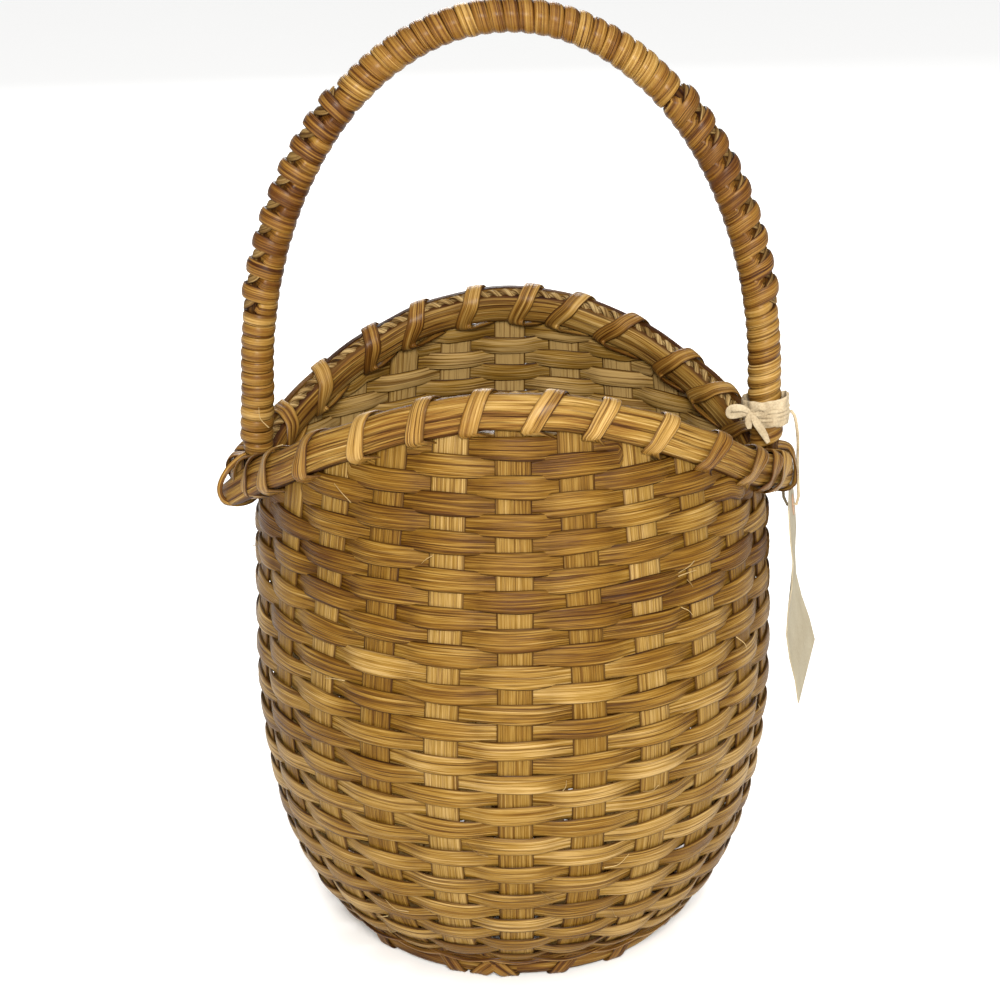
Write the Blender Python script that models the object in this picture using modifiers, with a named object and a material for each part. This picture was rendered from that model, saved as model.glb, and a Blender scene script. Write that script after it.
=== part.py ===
"""Round-bellied splint basket with a saddle rim, a fixed wrapped handle and a low foot hoop. Metres, +Z up.

The basket stands on the lashings of its foot hoop, its front towards -Y and the handle's legs at +X and -X.
Places round the wall are counted in stakes: 0 is the front middle and 6 the right side, under the handle.
"""

import math

import bmesh
import bpy
import numpy as np
from mathutils import Matrix, Vector

# Body, measured to the middle of the stakes
BELLY_HALF_WIDTH = 0.1080
BELLY_HALF_DEPTH = 0.1140
BELLY_HEIGHT = 0.1250
BASE_RADIUS = 0.0700
MOUTH_WIDTH_TAPER = 0.0050
MOUTH_DEPTH_TAPER = 0.0350
MOUTH_ABOVE_BELLY = 0.1250
TAPER_POWER = 1.25
MOUTH_POINT_POWER = 1.22

# Splints
STAKE_COUNT = 24
STAKE_WIDTH = 0.0130
STAKE_THICKNESS = 0.0012
WEAVER_WIDTH = 0.0062
WEAVER_THICKNESS = 0.0012
ROW_PITCH = 0.0071
BASE_SPACING = 0.0160
FRONT_SPOKES = 7
SIDE_SPOKES = 5
CLEARANCE = 0.00035
STAKE_SAG = 0.00025
FIRST_ROW_RUN = 0.0142
RIM_ROW_GAP = 0.0020
TURN_ROOM = 0.0006
TURN_RISE_SHARE = 0.2
TURN_REACH_SHARE = 0.34
STAKE_TOP_SHARE = 0.35

# Rim
RIM_ABOVE_MOUTH = 0.0030
RIM_SADDLE_DEPTH = 0.0510
RIM_SADDLE_POWER = 1.8
RIM_WIDTH = 0.0150
RIM_THICKNESS = 0.0032
RIM_BEND_ROOM = 0.0006
RIM_TIP_POWER = 26
FILLER_RADIUS = 0.0024
FILLER_GAP_STAKES = 0.52
LASHING_WIDTH = 0.0054
LASHING_THICKNESS = 0.0010
LASHING_SLANT = 0.07
LASHING_SHOULDER = 0.0021
LASHING_ROOM = 0.0007
LASHING_DIVE = 0.0040

# Handle
ARCH_RISE = 0.1520
HANDLE_THICKNESS = 0.0104
HANDLE_WIDTH = 0.0120
SECTION_SHARES = [(1, 0.5), (0, 1), (-1, 0.5), (-1, -0.5), (0, -1), (1, -0.5)]
LEG_END_ABOVE_RIM = 0.0100
LEG_RISE = 0.0260
LEG_LEAN = 0.0018
LEG_STAND_OFF = 0.0020
TAIL_THICKNESS = 0.0054
TAIL_TAPER = 0.0060
TAIL_DEPTH = 0.0170
TAIL_CORNER_ROOM = 0.0010
WRAP_WIDTH = 0.0053
WRAP_THICKNESS = 0.0010
WRAP_START_RISE = 0.0070
LEG_WRAP_LENGTH = 0.0512
FLANK_WRAP_LENGTH = 0.0880
CROWN_TURNS = 22
FLANK_TURNS = 10
LEG_TURNS = 8

# Foot
FOOT_STAND_OFF = 0.0035
FOOT_THICKNESS = 0.0050
FOOT_CANE_WIDTH = 0.0033
FOOT_BEND_ROOM = 0.0007
FOOT_CANE_THICKNESS = 0.0012
FOOT_GAPS = [0.5, 2.57, 4.5, 7.5, 9.43, 11.5, 12.5, 14.57, 16.5, 19.5, 21.43, 23.5]
TWINE_RADIUS = 0.0011
TWINE_WAVE = 0.0006
FOOT_HEIGHT = 0.0105
FOOT_ROUNDING_SHARE = 0.35

# Hang tag
TAG_WIDTH = 0.0480
TAG_LENGTH = 0.0950
TAG_THICKNESS = 0.0006
TAG_CORNER = 0.0090
TAG_TURN = math.radians(9)
TAG_LEAN = math.radians(-7)
TAG_ROLL = math.radians(-12)
TAG_HOLE_FROM_TIE = (0.0050, 0.0200, -0.0490)
TAG_HOLE_ASIDE = 0.0080
TAG_HOLE_RADIUS = 0.0012
TAG_HOLE_INSET = 0.0120
TAG_CURL_DROP = 0.0100
TAG_TWIST_SHARE = 0.14
TAG_BOW = 0.0040
TAG_PATCH_RADIUS = 0.0048
TAG_PATCH_THICKNESS = 0.0004
PAPER_GAP = 0.0001
CUT_OVERRUN = 0.0010
STRING_RADIUS = 0.0007
STRING_POINTS = 20
STRING_ROUTE_FROM_TIE = [
    (0.0024, 0.0010, -0.0035),
    (0.0043, 0.0040, -0.0140),
    (0.0055, 0.0110, -0.0270),
]
STRING_LOOP_FROM_HOLE = [
    (0, -0.0040, 0.0160),
    (0, -0.0036, 0.0100),
    (0, -0.0032, 0.0040),
    (0, -0.0020, 0),
    (0, 0.0020, 0),
    (0, 0.0032, 0.0040),
    (0, 0.0030, 0.0115),
    (0, 0.0006, 0.0157),
    (0, -0.0028, 0.0170),
]
TIE_RADIUS = 0.0011
TIE_RISE = 0.0140

# Worked out from the sizes above
MOUTH_HALF_WIDTH = BELLY_HALF_WIDTH - MOUTH_WIDTH_TAPER
MOUTH_HALF_DEPTH = BELLY_HALF_DEPTH - MOUTH_DEPTH_TAPER
MOUTH_HEIGHT = BELLY_HEIGHT + MOUTH_ABOVE_BELLY
RIM_FRONT_HEIGHT = MOUTH_HEIGHT + RIM_ABOVE_MOUTH
RIM_SIDE_HEIGHT = RIM_FRONT_HEIGHT - RIM_SADDLE_DEPTH
LEG_END_HEIGHT = RIM_SIDE_HEIGHT + LEG_END_ABOVE_RIM
ARCH_SPRING_HEIGHT = LEG_END_HEIGHT + LEG_RISE
TIE_HEIGHT = LEG_END_HEIGHT + TIE_RISE
FOOT_RADIUS = BASE_RADIUS + FOOT_STAND_OFF
HALF_STAKE = STAKE_THICKNESS / 2
HALF_WEAVER = WEAVER_THICKNESS / 2
STAKE_EDGE = STAKE_WIDTH / 2 + CLEARANCE
PASS_OFFSET = HALF_STAKE + HALF_WEAVER + CLEARANCE
CROSS_OFFSET = HALF_STAKE + CLEARANCE / 2
FOOT_BOTTOM = FOOT_CANE_THICKNESS + CLEARANCE
FOOT_TOP = FOOT_BOTTOM + FOOT_HEIGHT
BASE_HEIGHT = FOOT_TOP + CLEARANCE + HALF_STAKE + CROSS_OFFSET / 2
SIDE_STAKE = STAKE_COUNT // 4
BACK_STAKE = STAKE_COUNT // 2
INSIDE_PASS = PASS_OFFSET + STAKE_SAG
RIM_TIP_ROOM = TAIL_THICKNESS + CLEARANCE + TAIL_CORNER_ROOM
TAIL_BOTTOM = LEG_END_HEIGHT - TAIL_DEPTH

# Fineness
PLAN_STEPS = 721
SLOPE_STEP = 1e-4
RIM_SLOPE_STEP = 0.05
MERGE_DISTANCE = 1e-5
MILLIMETRES = 1000
BOWL_STATIONS = 8
RIM_STATIONS = 48
FILLER_STATIONS = 16
HANDLE_STATIONS = 44
FOOT_STEPS = 32
UPPER_STATIONS = 3
UPPER_STATION_POWER = 1.5
TIE_SIDES = 16
HOLE_SIDES = 12
TAG_COLUMNS = 5
TAG_ROWS = 8
PATCH_SIDES = 16


def clear_scene():
    for thing in list(bpy.data.objects):
        bpy.data.objects.remove(thing, do_unlink=True)


def new_collection(name):
    made = bpy.data.collections.new(name)
    bpy.context.scene.collection.children.link(made)
    return made


def new_material(name, colour, roughness):
    made = bpy.data.materials.new(name)
    made.use_nodes = True
    shader = made.node_tree.nodes["Principled BSDF"]
    shader.inputs["Base Color"].default_value = (*colour, 1)
    shader.inputs["Roughness"].default_value = roughness
    shader.inputs["Metallic"].default_value = 0
    return made


clear_scene()
PARTS = new_collection("Nantucket_basket")
CUTTERS = new_collection("Cutters")
CUTTERS.hide_render = True

STAKE_LOOK = new_material("stake_splint", (0.42, 0.25, 0.075), 0.5)
WEAVER_LOOK = new_material("weaver_splint", (0.36, 0.19, 0.05), 0.45)
HOOP_LOOK = new_material("hoop_wood", (0.40, 0.21, 0.06), 0.45)
CANE_LOOK = new_material("binding_cane", (0.38, 0.18, 0.05), 0.4)
ROPE_LOOK = new_material("seagrass_rope", (0.30, 0.17, 0.06), 0.7)
STRING_LOOK = new_material("cotton_string", (0.72, 0.66, 0.55), 0.9)
PAPER_LOOK = new_material("tag_paper", (0.80, 0.77, 0.68), 0.85)
PATCH_LOOK = new_material("patch_paper", (0.75, 0.55, 0.42), 0.85)


def show(name, data, look, collection=PARTS):
    data.materials.append(look)
    made = bpy.data.objects.new(name, data)
    collection.objects.link(made)
    return made


def unit(vector):
    return vector / np.linalg.norm(vector)


# Wall: a level of 0 is the base's edge, 1 the belly and 2 the mouth
def wall_height(level):
    if level <= 1:
        return BELLY_HEIGHT - (BELLY_HEIGHT - BASE_HEIGHT) * math.cos(level * math.pi / 2)
    return BELLY_HEIGHT + (level - 1) * (MOUTH_HEIGHT - BELLY_HEIGHT)


def level_at(height):
    if height <= BELLY_HEIGHT:
        below = (BELLY_HEIGHT - height) / (BELLY_HEIGHT - BASE_HEIGHT)
        return math.acos(min(1, max(0, below))) / (math.pi / 2)
    return 1 + (height - BELLY_HEIGHT) / (MOUTH_HEIGHT - BELLY_HEIGHT)


def half_size(level, belly, mouth):
    if level <= 1:
        return BASE_RADIUS + (belly - BASE_RADIUS) * math.sin(max(0, level) * math.pi / 2)
    return belly - (belly - mouth) * (level - 1) ** TAPER_POWER


PLAN_TABLES = {}


def plan_table(level):
    """Plan outline at a level: its points, and how far round each lies, counted in stakes."""
    key = round(level, 7)
    if key not in PLAN_TABLES:
        turn = np.linspace(0, 2 * np.pi, PLAN_STEPS)
        point_power = 1 + (MOUTH_POINT_POWER - 1) * min(1, max(0, level - 1))
        inward = np.abs(np.cos(turn)) ** point_power * np.sign(np.cos(turn))
        x = half_size(level, BELLY_HALF_WIDTH, MOUTH_HALF_WIDTH) * np.sin(turn)
        y = -half_size(level, BELLY_HALF_DEPTH, MOUTH_HALF_DEPTH) * inward
        run = np.concatenate([[0], np.cumsum(np.hypot(np.diff(x), np.diff(y)))])
        PLAN_TABLES[key] = (x, y, run / run[-1] * STAKE_COUNT)
    return PLAN_TABLES[key]


def wall_point(place, level):
    x, y, run = plan_table(level)
    place = place % STAKE_COUNT
    return np.array([np.interp(place, run, x), np.interp(place, run, y), wall_height(level)])


def wall_frame(place, level):
    """Point on the wall with its directions: along the wall to the right, up the wall, and outwards."""
    step = SLOPE_STEP * STAKE_COUNT
    along = unit(wall_point(place + step, level) - wall_point(place - step, level))
    low = max(0, level - SLOPE_STEP)
    up = wall_point(place, level + SLOPE_STEP) - wall_point(place, low)
    up = unit(up - along * np.dot(up, along))
    return wall_point(place, level), along, up, np.cross(along, up)


def mean_meridian():
    levels = np.linspace(0, 2, PLAN_STEPS)
    wide = [half_size(v, BELLY_HALF_WIDTH, MOUTH_HALF_WIDTH) for v in levels]
    deep = [half_size(v, BELLY_HALF_DEPTH, MOUTH_HALF_DEPTH) for v in levels]
    reach = (np.array(wide) + np.array(deep)) / 2
    rise = [wall_height(v) for v in levels]
    return levels, np.concatenate([[0], np.cumsum(np.hypot(np.diff(reach), np.diff(rise)))])


MERIDIAN_LEVELS, MERIDIAN_RUN = mean_meridian()


def level_after(run):
    return float(np.interp(run, MERIDIAN_RUN, MERIDIAN_LEVELS))


def run_at(level):
    return float(np.interp(level, MERIDIAN_LEVELS, MERIDIAN_RUN))


# Shapes
def strip(name, stations, width, thickness, look, closed=False, even=False):
    """A flat splint through stations of (middle, across): a grid bent to its path, then thickened."""
    rows = len(stations) if closed else len(stations) - 1
    mesh = bpy.data.meshes.new(name)
    built = bmesh.new()
    bmesh.ops.create_grid(built, x_segments=1, y_segments=rows, size=1)
    for vertex in built.verts:
        share = round(vertex.co.x)
        row = round((vertex.co.y + 1) / 2 * rows)
        middle, across = stations[row % len(stations)]
        vertex.co = middle + across * share * width / 2
    if closed:
        bmesh.ops.remove_doubles(built, verts=built.verts, dist=MERGE_DISTANCE)
    built.to_mesh(mesh)
    built.free()
    made = show(name, mesh, look)
    solid = made.modifiers.new("Thickness", "SOLIDIFY")
    solid.thickness = thickness
    solid.offset = 0
    solid.use_even_offset = even
    return made


def across_path(points, outwards, closed=False):
    """Stations for a strip through points, with its flat side turned outwards."""
    stations = []
    count = len(points)
    for index, (point, outward) in enumerate(zip(points, outwards)):
        before = points[(index - 1) % count] if closed or index > 0 else point
        after = points[(index + 1) % count] if closed or index < count - 1 else point
        ahead = unit(after - before)
        across = unit(np.cross(outward, ahead))
        stations.append((point, across))
    return stations


def tube(name, points, radius, look, closed=False, resolution=1):
    curve = bpy.data.curves.new(name, "CURVE")
    curve.dimensions = "3D"
    curve.bevel_depth = radius
    curve.bevel_resolution = resolution
    curve.use_fill_caps = not closed
    line = curve.splines.new("POLY")
    line.points.add(len(points) - 1)
    for spot, point in zip(line.points, points):
        spot.co = (*point, 1)
    line.use_cyclic_u = closed
    return show(name, curve, look)


def loft(name, rings, look):
    """A closed solid through unlike sections with the same number of corners."""
    mesh = bpy.data.meshes.new(name)
    built = bmesh.new()
    made = [[built.verts.new(corner) for corner in ring] for ring in rings]
    for low, high in zip(made, made[1:]):
        for index in range(len(low)):
            following = (index + 1) % len(low)
            built.faces.new((low[index], low[following], high[following], high[index]))
    built.faces.new(made[0])
    built.faces.new(made[-1])
    bmesh.ops.recalc_face_normals(built, faces=built.faces)
    built.to_mesh(mesh)
    built.free()
    return show(name, mesh, look)


def turned(name, profile, steps, look):
    """A ring turned from a closed profile of (radius, height), listed down its outer side first."""
    mesh = bpy.data.meshes.new(name)
    count = len(profile)
    corners = [(radius, 0, height) for radius, height in profile]
    mesh.from_pydata(corners, [(index, (index + 1) % count) for index in range(count)], [])
    made = show(name, mesh, look)
    screw = made.modifiers.new("Turn", "SCREW")
    screw.steps = steps
    screw.render_steps = steps
    screw.use_merge_vertices = True
    screw.merge_threshold = MERGE_DISTANCE
    return made


# Weaving
def stake_spot(stake, level, aside, outward):
    """A spot beside a stake's middle line, measured in the stake's own flat plane."""
    middle, along, _, out = wall_frame(stake, level)
    return middle + along * aside + out * outward


def inside_depth(stake, level, neighbours):
    """How deep a weaver's single point behind a stake lies, so that its straight runs clear the edges."""
    middle, along, _, out = wall_frame(stake, level)
    depth = INSIDE_PASS
    for spot in neighbours:
        aside = abs(np.dot(spot - middle, along))
        height = np.dot(spot - middle, out)
        slope = (INSIDE_PASS + height) / (aside - STAKE_EDGE)
        depth = max(depth, INSIDE_PASS + slope * STAKE_EDGE)
    return depth


RIM_BOTTOM = RIM_SIDE_HEIGHT - RIM_WIDTH / 2
RING_ROOM = run_at(level_at(RIM_BOTTOM - RIM_ROW_GAP - WEAVER_WIDTH / 2)) - FIRST_ROW_RUN
RING_COUNT = int(RING_ROOM / ROW_PITCH) + 1


def passes_outside(row, stake):
    return (row + stake) % 2 == 0


def row_level(row):
    return level_after(FIRST_ROW_RUN + row * ROW_PITCH)


def woven_row(row, stakes):
    """Stations of one row over and under the given stakes, taken from left to right."""
    level = row_level(row)
    stations = []
    for stake in stakes:
        up = wall_frame(stake, level)[2]
        if passes_outside(row, stake):
            for side in (-1, 1):
                stations.append((stake_spot(stake, level, side * STAKE_EDGE, PASS_OFFSET), up))
        else:
            neighbours = [
                stake_spot(stake - 1, level, STAKE_EDGE, PASS_OFFSET),
                stake_spot(stake + 1, level, -STAKE_EDGE, PASS_OFFSET),
            ]
            depth = inside_depth(stake, level, neighbours)
            stations.append((stake_spot(stake, level, 0, -depth), up))
    return stations


def weaver_rings():
    for row in range(RING_COUNT):
        stations = woven_row(row, range(STAKE_COUNT))
        strip(f"weaver_{row + 1:02d}", stations, WEAVER_WIDTH, WEAVER_THICKNESS, WEAVER_LOOK, closed=True)


def end_passes(row, stake, side, rise):
    """The last stake of a short row, passed flat on one side, up to the edge that the weaver turns round."""
    outward = PASS_OFFSET if passes_outside(row, stake) else -INSIDE_PASS
    stations = []
    for aside, share in ((-side * STAKE_EDGE, 0), (side * STAKE_EDGE, TURN_RISE_SHARE)):
        level = row_level(row + rise * share)
        up = wall_frame(stake, level)[2]
        stations.append((stake_spot(stake, level, aside, outward), up))
    return stations


def short_row_end(row):
    """The furthest stake that a short row reaches below the rim, counted from the middle of its arch."""
    top = wall_height(row_level(row)) + WEAVER_WIDTH / 2
    reach = 0
    for stake in range(1, SIDE_STAKE):
        if top + RIM_ROW_GAP < rim_height(stake + TURN_REACH_SHARE) - RIM_WIDTH / 2:
            reach = stake
    return reach


def short_row_count():
    count = 0
    while short_row_end(RING_COUNT + count) > 0:
        count += 1
    return count


def packing_weaver(name, middle_stake):
    """A weaver that fills the arch under the rim, going to and fro and turning round the end stakes."""
    stations = []
    side = 1
    last_row = RING_COUNT + short_row_count() - 1
    for row in range(RING_COUNT, last_row + 1):
        turns_back = row < last_row
        first = middle_stake - side * short_row_end(row)
        last = middle_stake + side * short_row_end(row + 1 if turns_back else row)
        stations += end_passes(row, first, -side, -1 if row > RING_COUNT else 0)[::-1]
        body = woven_row(row, sorted(range(first + side, last, side)))
        stations += body if side > 0 else body[::-1]
        stations += end_passes(row, last, side, 1 if turns_back else 0)
        if turns_back:
            level = row_level(row + 1 / 2)
            up = wall_frame(last, level)[2]
            stations.append((stake_spot(last, level, side * (STAKE_EDGE + HALF_WEAVER + TURN_ROOM), 0), up))
        side = -side
    strip(name, stations, WEAVER_WIDTH, WEAVER_THICKNESS, WEAVER_LOOK)


# Spokes: each crosses the base and runs up the wall at both ends as a stake
def stake_stations(stake):
    top = rim_height(stake) + STAKE_TOP_SHARE * RIM_WIDTH / 2
    upper = level_at(top) - 1
    levels = [step / BOWL_STATIONS for step in range(BOWL_STATIONS + 1)]
    for step in range(1, UPPER_STATIONS + 1):
        levels.append(1 + upper * (step / UPPER_STATIONS) ** UPPER_STATION_POWER)
    return [wall_frame(stake, level)[:2] for level in levels]


def base_stations(place, crossings, own_index, lengthwise):
    """A spoke's flat run over and under the spokes that cross it."""
    reach = (crossings - 1) // 2
    stations = []
    for crossing in range(-reach, reach + 1):
        over = ((crossing + own_index) % 2 == 0) == lengthwise
        height = BASE_HEIGHT + CROSS_OFFSET * (1 if over else -1)
        for side in (-1, 1):
            along = crossing * BASE_SPACING + side * STAKE_EDGE
            spot = (place, along, height) if lengthwise else (along, place, height)
            across = (1, 0, 0) if lengthwise else (0, 1, 0)
            stations.append((np.array(spot), np.array(across)))
    return stations


def spoke(name, first_stake, last_stake, base):
    stations = []
    for spot, across in stake_stations(first_stake)[::-1] + base + stake_stations(last_stake):
        if stations and np.dot(stations[-1][1], across) < 0:
            across = -across
        stations.append((spot, across))
    strip(name, stations, STAKE_WIDTH, STAKE_THICKNESS, STAKE_LOOK)


def spokes():
    reach = FRONT_SPOKES // 2
    for index in range(-reach, reach + 1):
        base = base_stations(index * BASE_SPACING, SIDE_SPOKES, index, True)
        spoke(f"spoke_front_{index + reach + 1}", index, BACK_STAKE - index, base)
    reach = SIDE_SPOKES // 2
    for index in range(-reach, reach + 1):
        base = base_stations(index * BASE_SPACING, FRONT_SPOKES, index, False)
        spoke(f"spoke_side_{index + reach + 1}", -SIDE_STAKE - index, SIDE_STAKE + index, base)


# Rim
def plan_sine(place):
    """0 at the front and back, 1 at the sides."""
    return min(1, abs(wall_point(place, 2)[0]) / MOUTH_HALF_WIDTH)


def rim_height(place):
    cosine = math.sqrt(max(0, 1 - plan_sine(place) ** 2))
    return RIM_SIDE_HEIGHT + (RIM_FRONT_HEIGHT - RIM_SIDE_HEIGHT) * cosine**RIM_SADDLE_POWER


def rim_frame(place):
    """Middle of the rim with the directions along it, across it upwards, and outwards."""
    middle, _, _, out = wall_frame(place, level_at(rim_height(place)))
    after = wall_point(place + RIM_SLOPE_STEP, level_at(rim_height(place + RIM_SLOPE_STEP)))
    before = wall_point(place - RIM_SLOPE_STEP, level_at(rim_height(place - RIM_SLOPE_STEP)))
    ahead = unit(after - before)
    across = unit(np.cross(out, ahead))
    return middle, ahead, across, np.cross(ahead, across)


def tip_room(place):
    """How far the outer hoop stands off near the handle's ends, straight between the hoop's stations."""
    step = STAKE_COUNT / RIM_STATIONS
    first = math.floor(place / step)
    share = place / step - first
    before, after = (RIM_TIP_ROOM * plan_sine(index * step) ** RIM_TIP_POWER for index in (first, first + 1))
    return before + (after - before) * share


def rim_spot(place, outward, upward):
    middle, _, across, out = rim_frame(place)
    return middle + out * outward + across * upward


def rim_hoop(name, side):
    """Outer hoop at side 1, inner hoop at side -1."""
    seat = HALF_STAKE + CLEARANCE + RIM_THICKNESS / 2
    stations = []
    for step in range(RIM_STATIONS):
        place = step * STAKE_COUNT / RIM_STATIONS
        room = RIM_BEND_ROOM + tip_room(place) if side > 0 else 0
        stations.append((rim_spot(place, side * (seat + room), 0), rim_frame(place)[2]))
    strip(name, stations, RIM_WIDTH, RIM_THICKNESS, HOOP_LOOK, closed=True)


FILLER_RISE = RIM_WIDTH / 2 + math.sqrt((FILLER_RADIUS + CLEARANCE) ** 2 - (HALF_STAKE + CLEARANCE) ** 2)


def rim_filler(name, first, last):
    points = []
    for step in range(FILLER_STATIONS + 1):
        place = first + (last - first) * step / FILLER_STATIONS
        points.append(rim_spot(place, tip_room(place) / 2, FILLER_RISE))
    tube(name, points, FILLER_RADIUS, ROPE_LOOK)


def lashing_spot(place, outward, upward):
    """A spot straight above or below the rim's middle, further from it where the rim slopes."""
    middle, _, across, out = rim_frame(place)
    up = wall_frame(place, level_at(rim_height(place)))[2]
    slope = math.acos(min(1, np.dot(up, across)))
    reach = abs(upward) / math.cos(slope) + LASHING_WIDTH / 2 * math.tan(slope)
    return middle + out * outward + up * math.copysign(reach, upward)


def rim_lashing():
    """Binding cane that goes once round both hoops and the filler in each gap between two stakes."""
    wide = HALF_STAKE + 2 * CLEARANCE + RIM_THICKNESS + LASHING_ROOM + LASHING_THICKNESS / 2
    edge = RIM_WIDTH / 2 + CLEARANCE + LASHING_THICKNESS / 2
    top = FILLER_RISE + FILLER_RADIUS + LASHING_ROOM + LASHING_THICKNESS / 2
    points, outwards = [], []
    for turn in range(STAKE_COUNT):
        gap = SIDE_STAKE + 1 / 2 + turn
        for place, outward, upward, out_share, up_share in (
            (gap - LASHING_SLANT, wide, -edge, 1, -1),
            (gap + LASHING_SLANT, wide, edge, 1, 1 / 2),
            (gap + LASHING_SLANT, LASHING_SHOULDER, top, 1 / 2, 1),
            (gap + LASHING_SLANT, -LASHING_SHOULDER, top, -1 / 2, 1),
            (gap + LASHING_SLANT, -wide, edge, -1, 0),
            (gap + 1 - LASHING_SLANT, -wide, LASHING_DIVE - edge, -1, 0),
            (gap + 1 - LASHING_SLANT, -wide, -edge, -1, -1),
        ):
            room = (RIM_BEND_ROOM + tip_room(place)) * (1 if outward == wide else 0)
            _, _, across, out = rim_frame(place)
            points.append(lashing_spot(place, outward + room, upward))
            outwards.append(unit(out * out_share + across * up_share))
    stations = across_path(points, outwards)
    report_gap("rim_lashing", stations, LASHING_WIDTH, len(points) // STAKE_COUNT)
    strip("rim_lashing", stations, LASHING_WIDTH, LASHING_THICKNESS, CANE_LOOK)


def report_gap(name, stations, width, per_turn):
    """Prints the least gap between one turn of a winding and the next, measured at its edges."""
    edges = [(spot - across * width / 2, spot + across * width / 2) for spot, across in stations]
    gaps = []
    for index in range(len(edges) - per_turn):
        for here in edges[index]:
            gaps += [np.linalg.norm(there - here) for there in edges[index + per_turn]]
    print(f"{name}: least gap {min(gaps) * MILLIMETRES:.2f} mm")


# Handle
def wall_half_width(height):
    return half_size(level_at(height), BELLY_HALF_WIDTH, MOUTH_HALF_WIDTH)


def arch_point(share):
    """Middle line of the handle, from the right leg's end at 0 over the crown to the left leg's end at 1."""
    run = share * HANDLE_RUN[-1]
    return np.array([np.interp(run, HANDLE_RUN, HANDLE_X), 0, np.interp(run, HANDLE_RUN, HANDLE_Z)])


def handle_line():
    turn = np.linspace(0, math.pi, PLAN_STEPS)
    leg_end_x = wall_half_width(LEG_END_HEIGHT) + LEG_STAND_OFF
    x = (leg_end_x - LEG_LEAN) * np.cos(turn)
    z = ARCH_SPRING_HEIGHT + ARCH_RISE * np.sin(turn)
    x = np.concatenate([[leg_end_x], x, [-leg_end_x]])
    z = np.concatenate([[LEG_END_HEIGHT], z, [LEG_END_HEIGHT]])
    run = np.concatenate([[0], np.cumsum(np.hypot(np.diff(x), np.diff(z)))])
    return x, z, run


HANDLE_X, HANDLE_Z, HANDLE_RUN = handle_line()


def handle_frame(share):
    """Point on the handle's middle line, with the direction away from the arch's inside."""
    ahead = unit(arch_point(min(1, share + SLOPE_STEP)) - arch_point(max(0, share - SLOPE_STEP)))
    return arch_point(share), np.array([ahead[2], 0, -ahead[0]])


def section(middle, away, half_thickness, half_width):
    depth = np.array([0, 1, 0])
    return [middle + away * half_thickness * x + depth * half_width * y for x, y in SECTION_SHARES]


def tail_x(height):
    """Middle of the flattened end that lies on the side stake's outer face."""
    return wall_half_width(height) + HALF_STAKE + CLEARANCE + TAIL_THICKNESS / 2


def handle_core():
    rings = []
    leg_low = TAIL_TAPER / HANDLE_RUN[-1]
    for step in range(HANDLE_STATIONS + 1):
        middle, away = handle_frame(leg_low + (1 - 2 * leg_low) * step / HANDLE_STATIONS)
        rings.append(section(middle, away, HANDLE_THICKNESS / 2, HANDLE_WIDTH / 2))
    for side in (1, -1):
        away = np.array([side, 0, 0])
        tail = []
        for height in (LEG_END_HEIGHT, TAIL_BOTTOM):
            middle = np.array([side * tail_x(height), 0, height])
            tail.append(section(middle, away, TAIL_THICKNESS / 2, HANDLE_WIDTH / 2))
        rings = tail[::-1] + rings if side > 0 else rings + tail
    loft("handle_core", rings, HOOP_LOOK)


def handle_wrap(name, first, last, turns):
    """Binding cane wound round the handle from one share of its length to another."""
    reach = CLEARANCE + WRAP_THICKNESS / 2
    per_turn = len(SECTION_SHARES)
    points, outwards = [], []
    for step in range(turns * per_turn + 1):
        middle, away = handle_frame(first + (last - first) * step / (turns * per_turn))
        corner = step % per_turn
        half_thickness = HANDLE_THICKNESS / 2 + reach
        half_width = HANDLE_WIDTH / 2 * half_thickness / (HANDLE_THICKNESS / 2)
        point = section(middle, away, half_thickness, half_width)[corner]
        points.append(point)
        outwards.append(unit(point - middle))
    stations = across_path(points, outwards)
    report_gap(name, stations, WRAP_WIDTH, per_turn)
    strip(name, stations, WRAP_WIDTH, WRAP_THICKNESS, CANE_LOOK)


def handle_wraps():
    leg = LEG_WRAP_LENGTH / HANDLE_RUN[-1]
    flank = FLANK_WRAP_LENGTH / HANDLE_RUN[-1]
    start = WRAP_START_RISE / HANDLE_RUN[-1]
    between = WRAP_WIDTH / HANDLE_RUN[-1]
    for name, mirrored in (("right", False), ("left", True)):
        for part, first, length, turns in (
            ("leg", start, leg, LEG_TURNS),
            ("flank", start + leg + between, flank, FLANK_TURNS),
        ):
            last = first + length
            ends = (1 - last, 1 - first) if mirrored else (first, last)
            handle_wrap(f"wrap_{part}_{name}", *ends, turns)
    crown_start = start + leg + flank + 2 * between
    handle_wrap("wrap_crown", crown_start, 1 - crown_start, CROWN_TURNS)


# Foot
def foot_hoop():
    inner = FOOT_RADIUS - FOOT_THICKNESS
    edge = FOOT_THICKNESS * FOOT_ROUNDING_SHARE
    profile = [
        (FOOT_RADIUS, FOOT_TOP - edge),
        (FOOT_RADIUS, FOOT_BOTTOM + edge),
        (FOOT_RADIUS - edge, FOOT_BOTTOM),
        (inner, FOOT_BOTTOM),
        (inner, FOOT_TOP),
        (FOOT_RADIUS - edge, FOOT_TOP),
    ]
    turned("foot_hoop", profile, FOOT_STEPS, HOOP_LOOK)


def round_spot(place, radius, height):
    turn = place / STAKE_COUNT * 2 * math.pi
    return np.array([radius * math.sin(turn), -radius * math.cos(turn), height])


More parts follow.
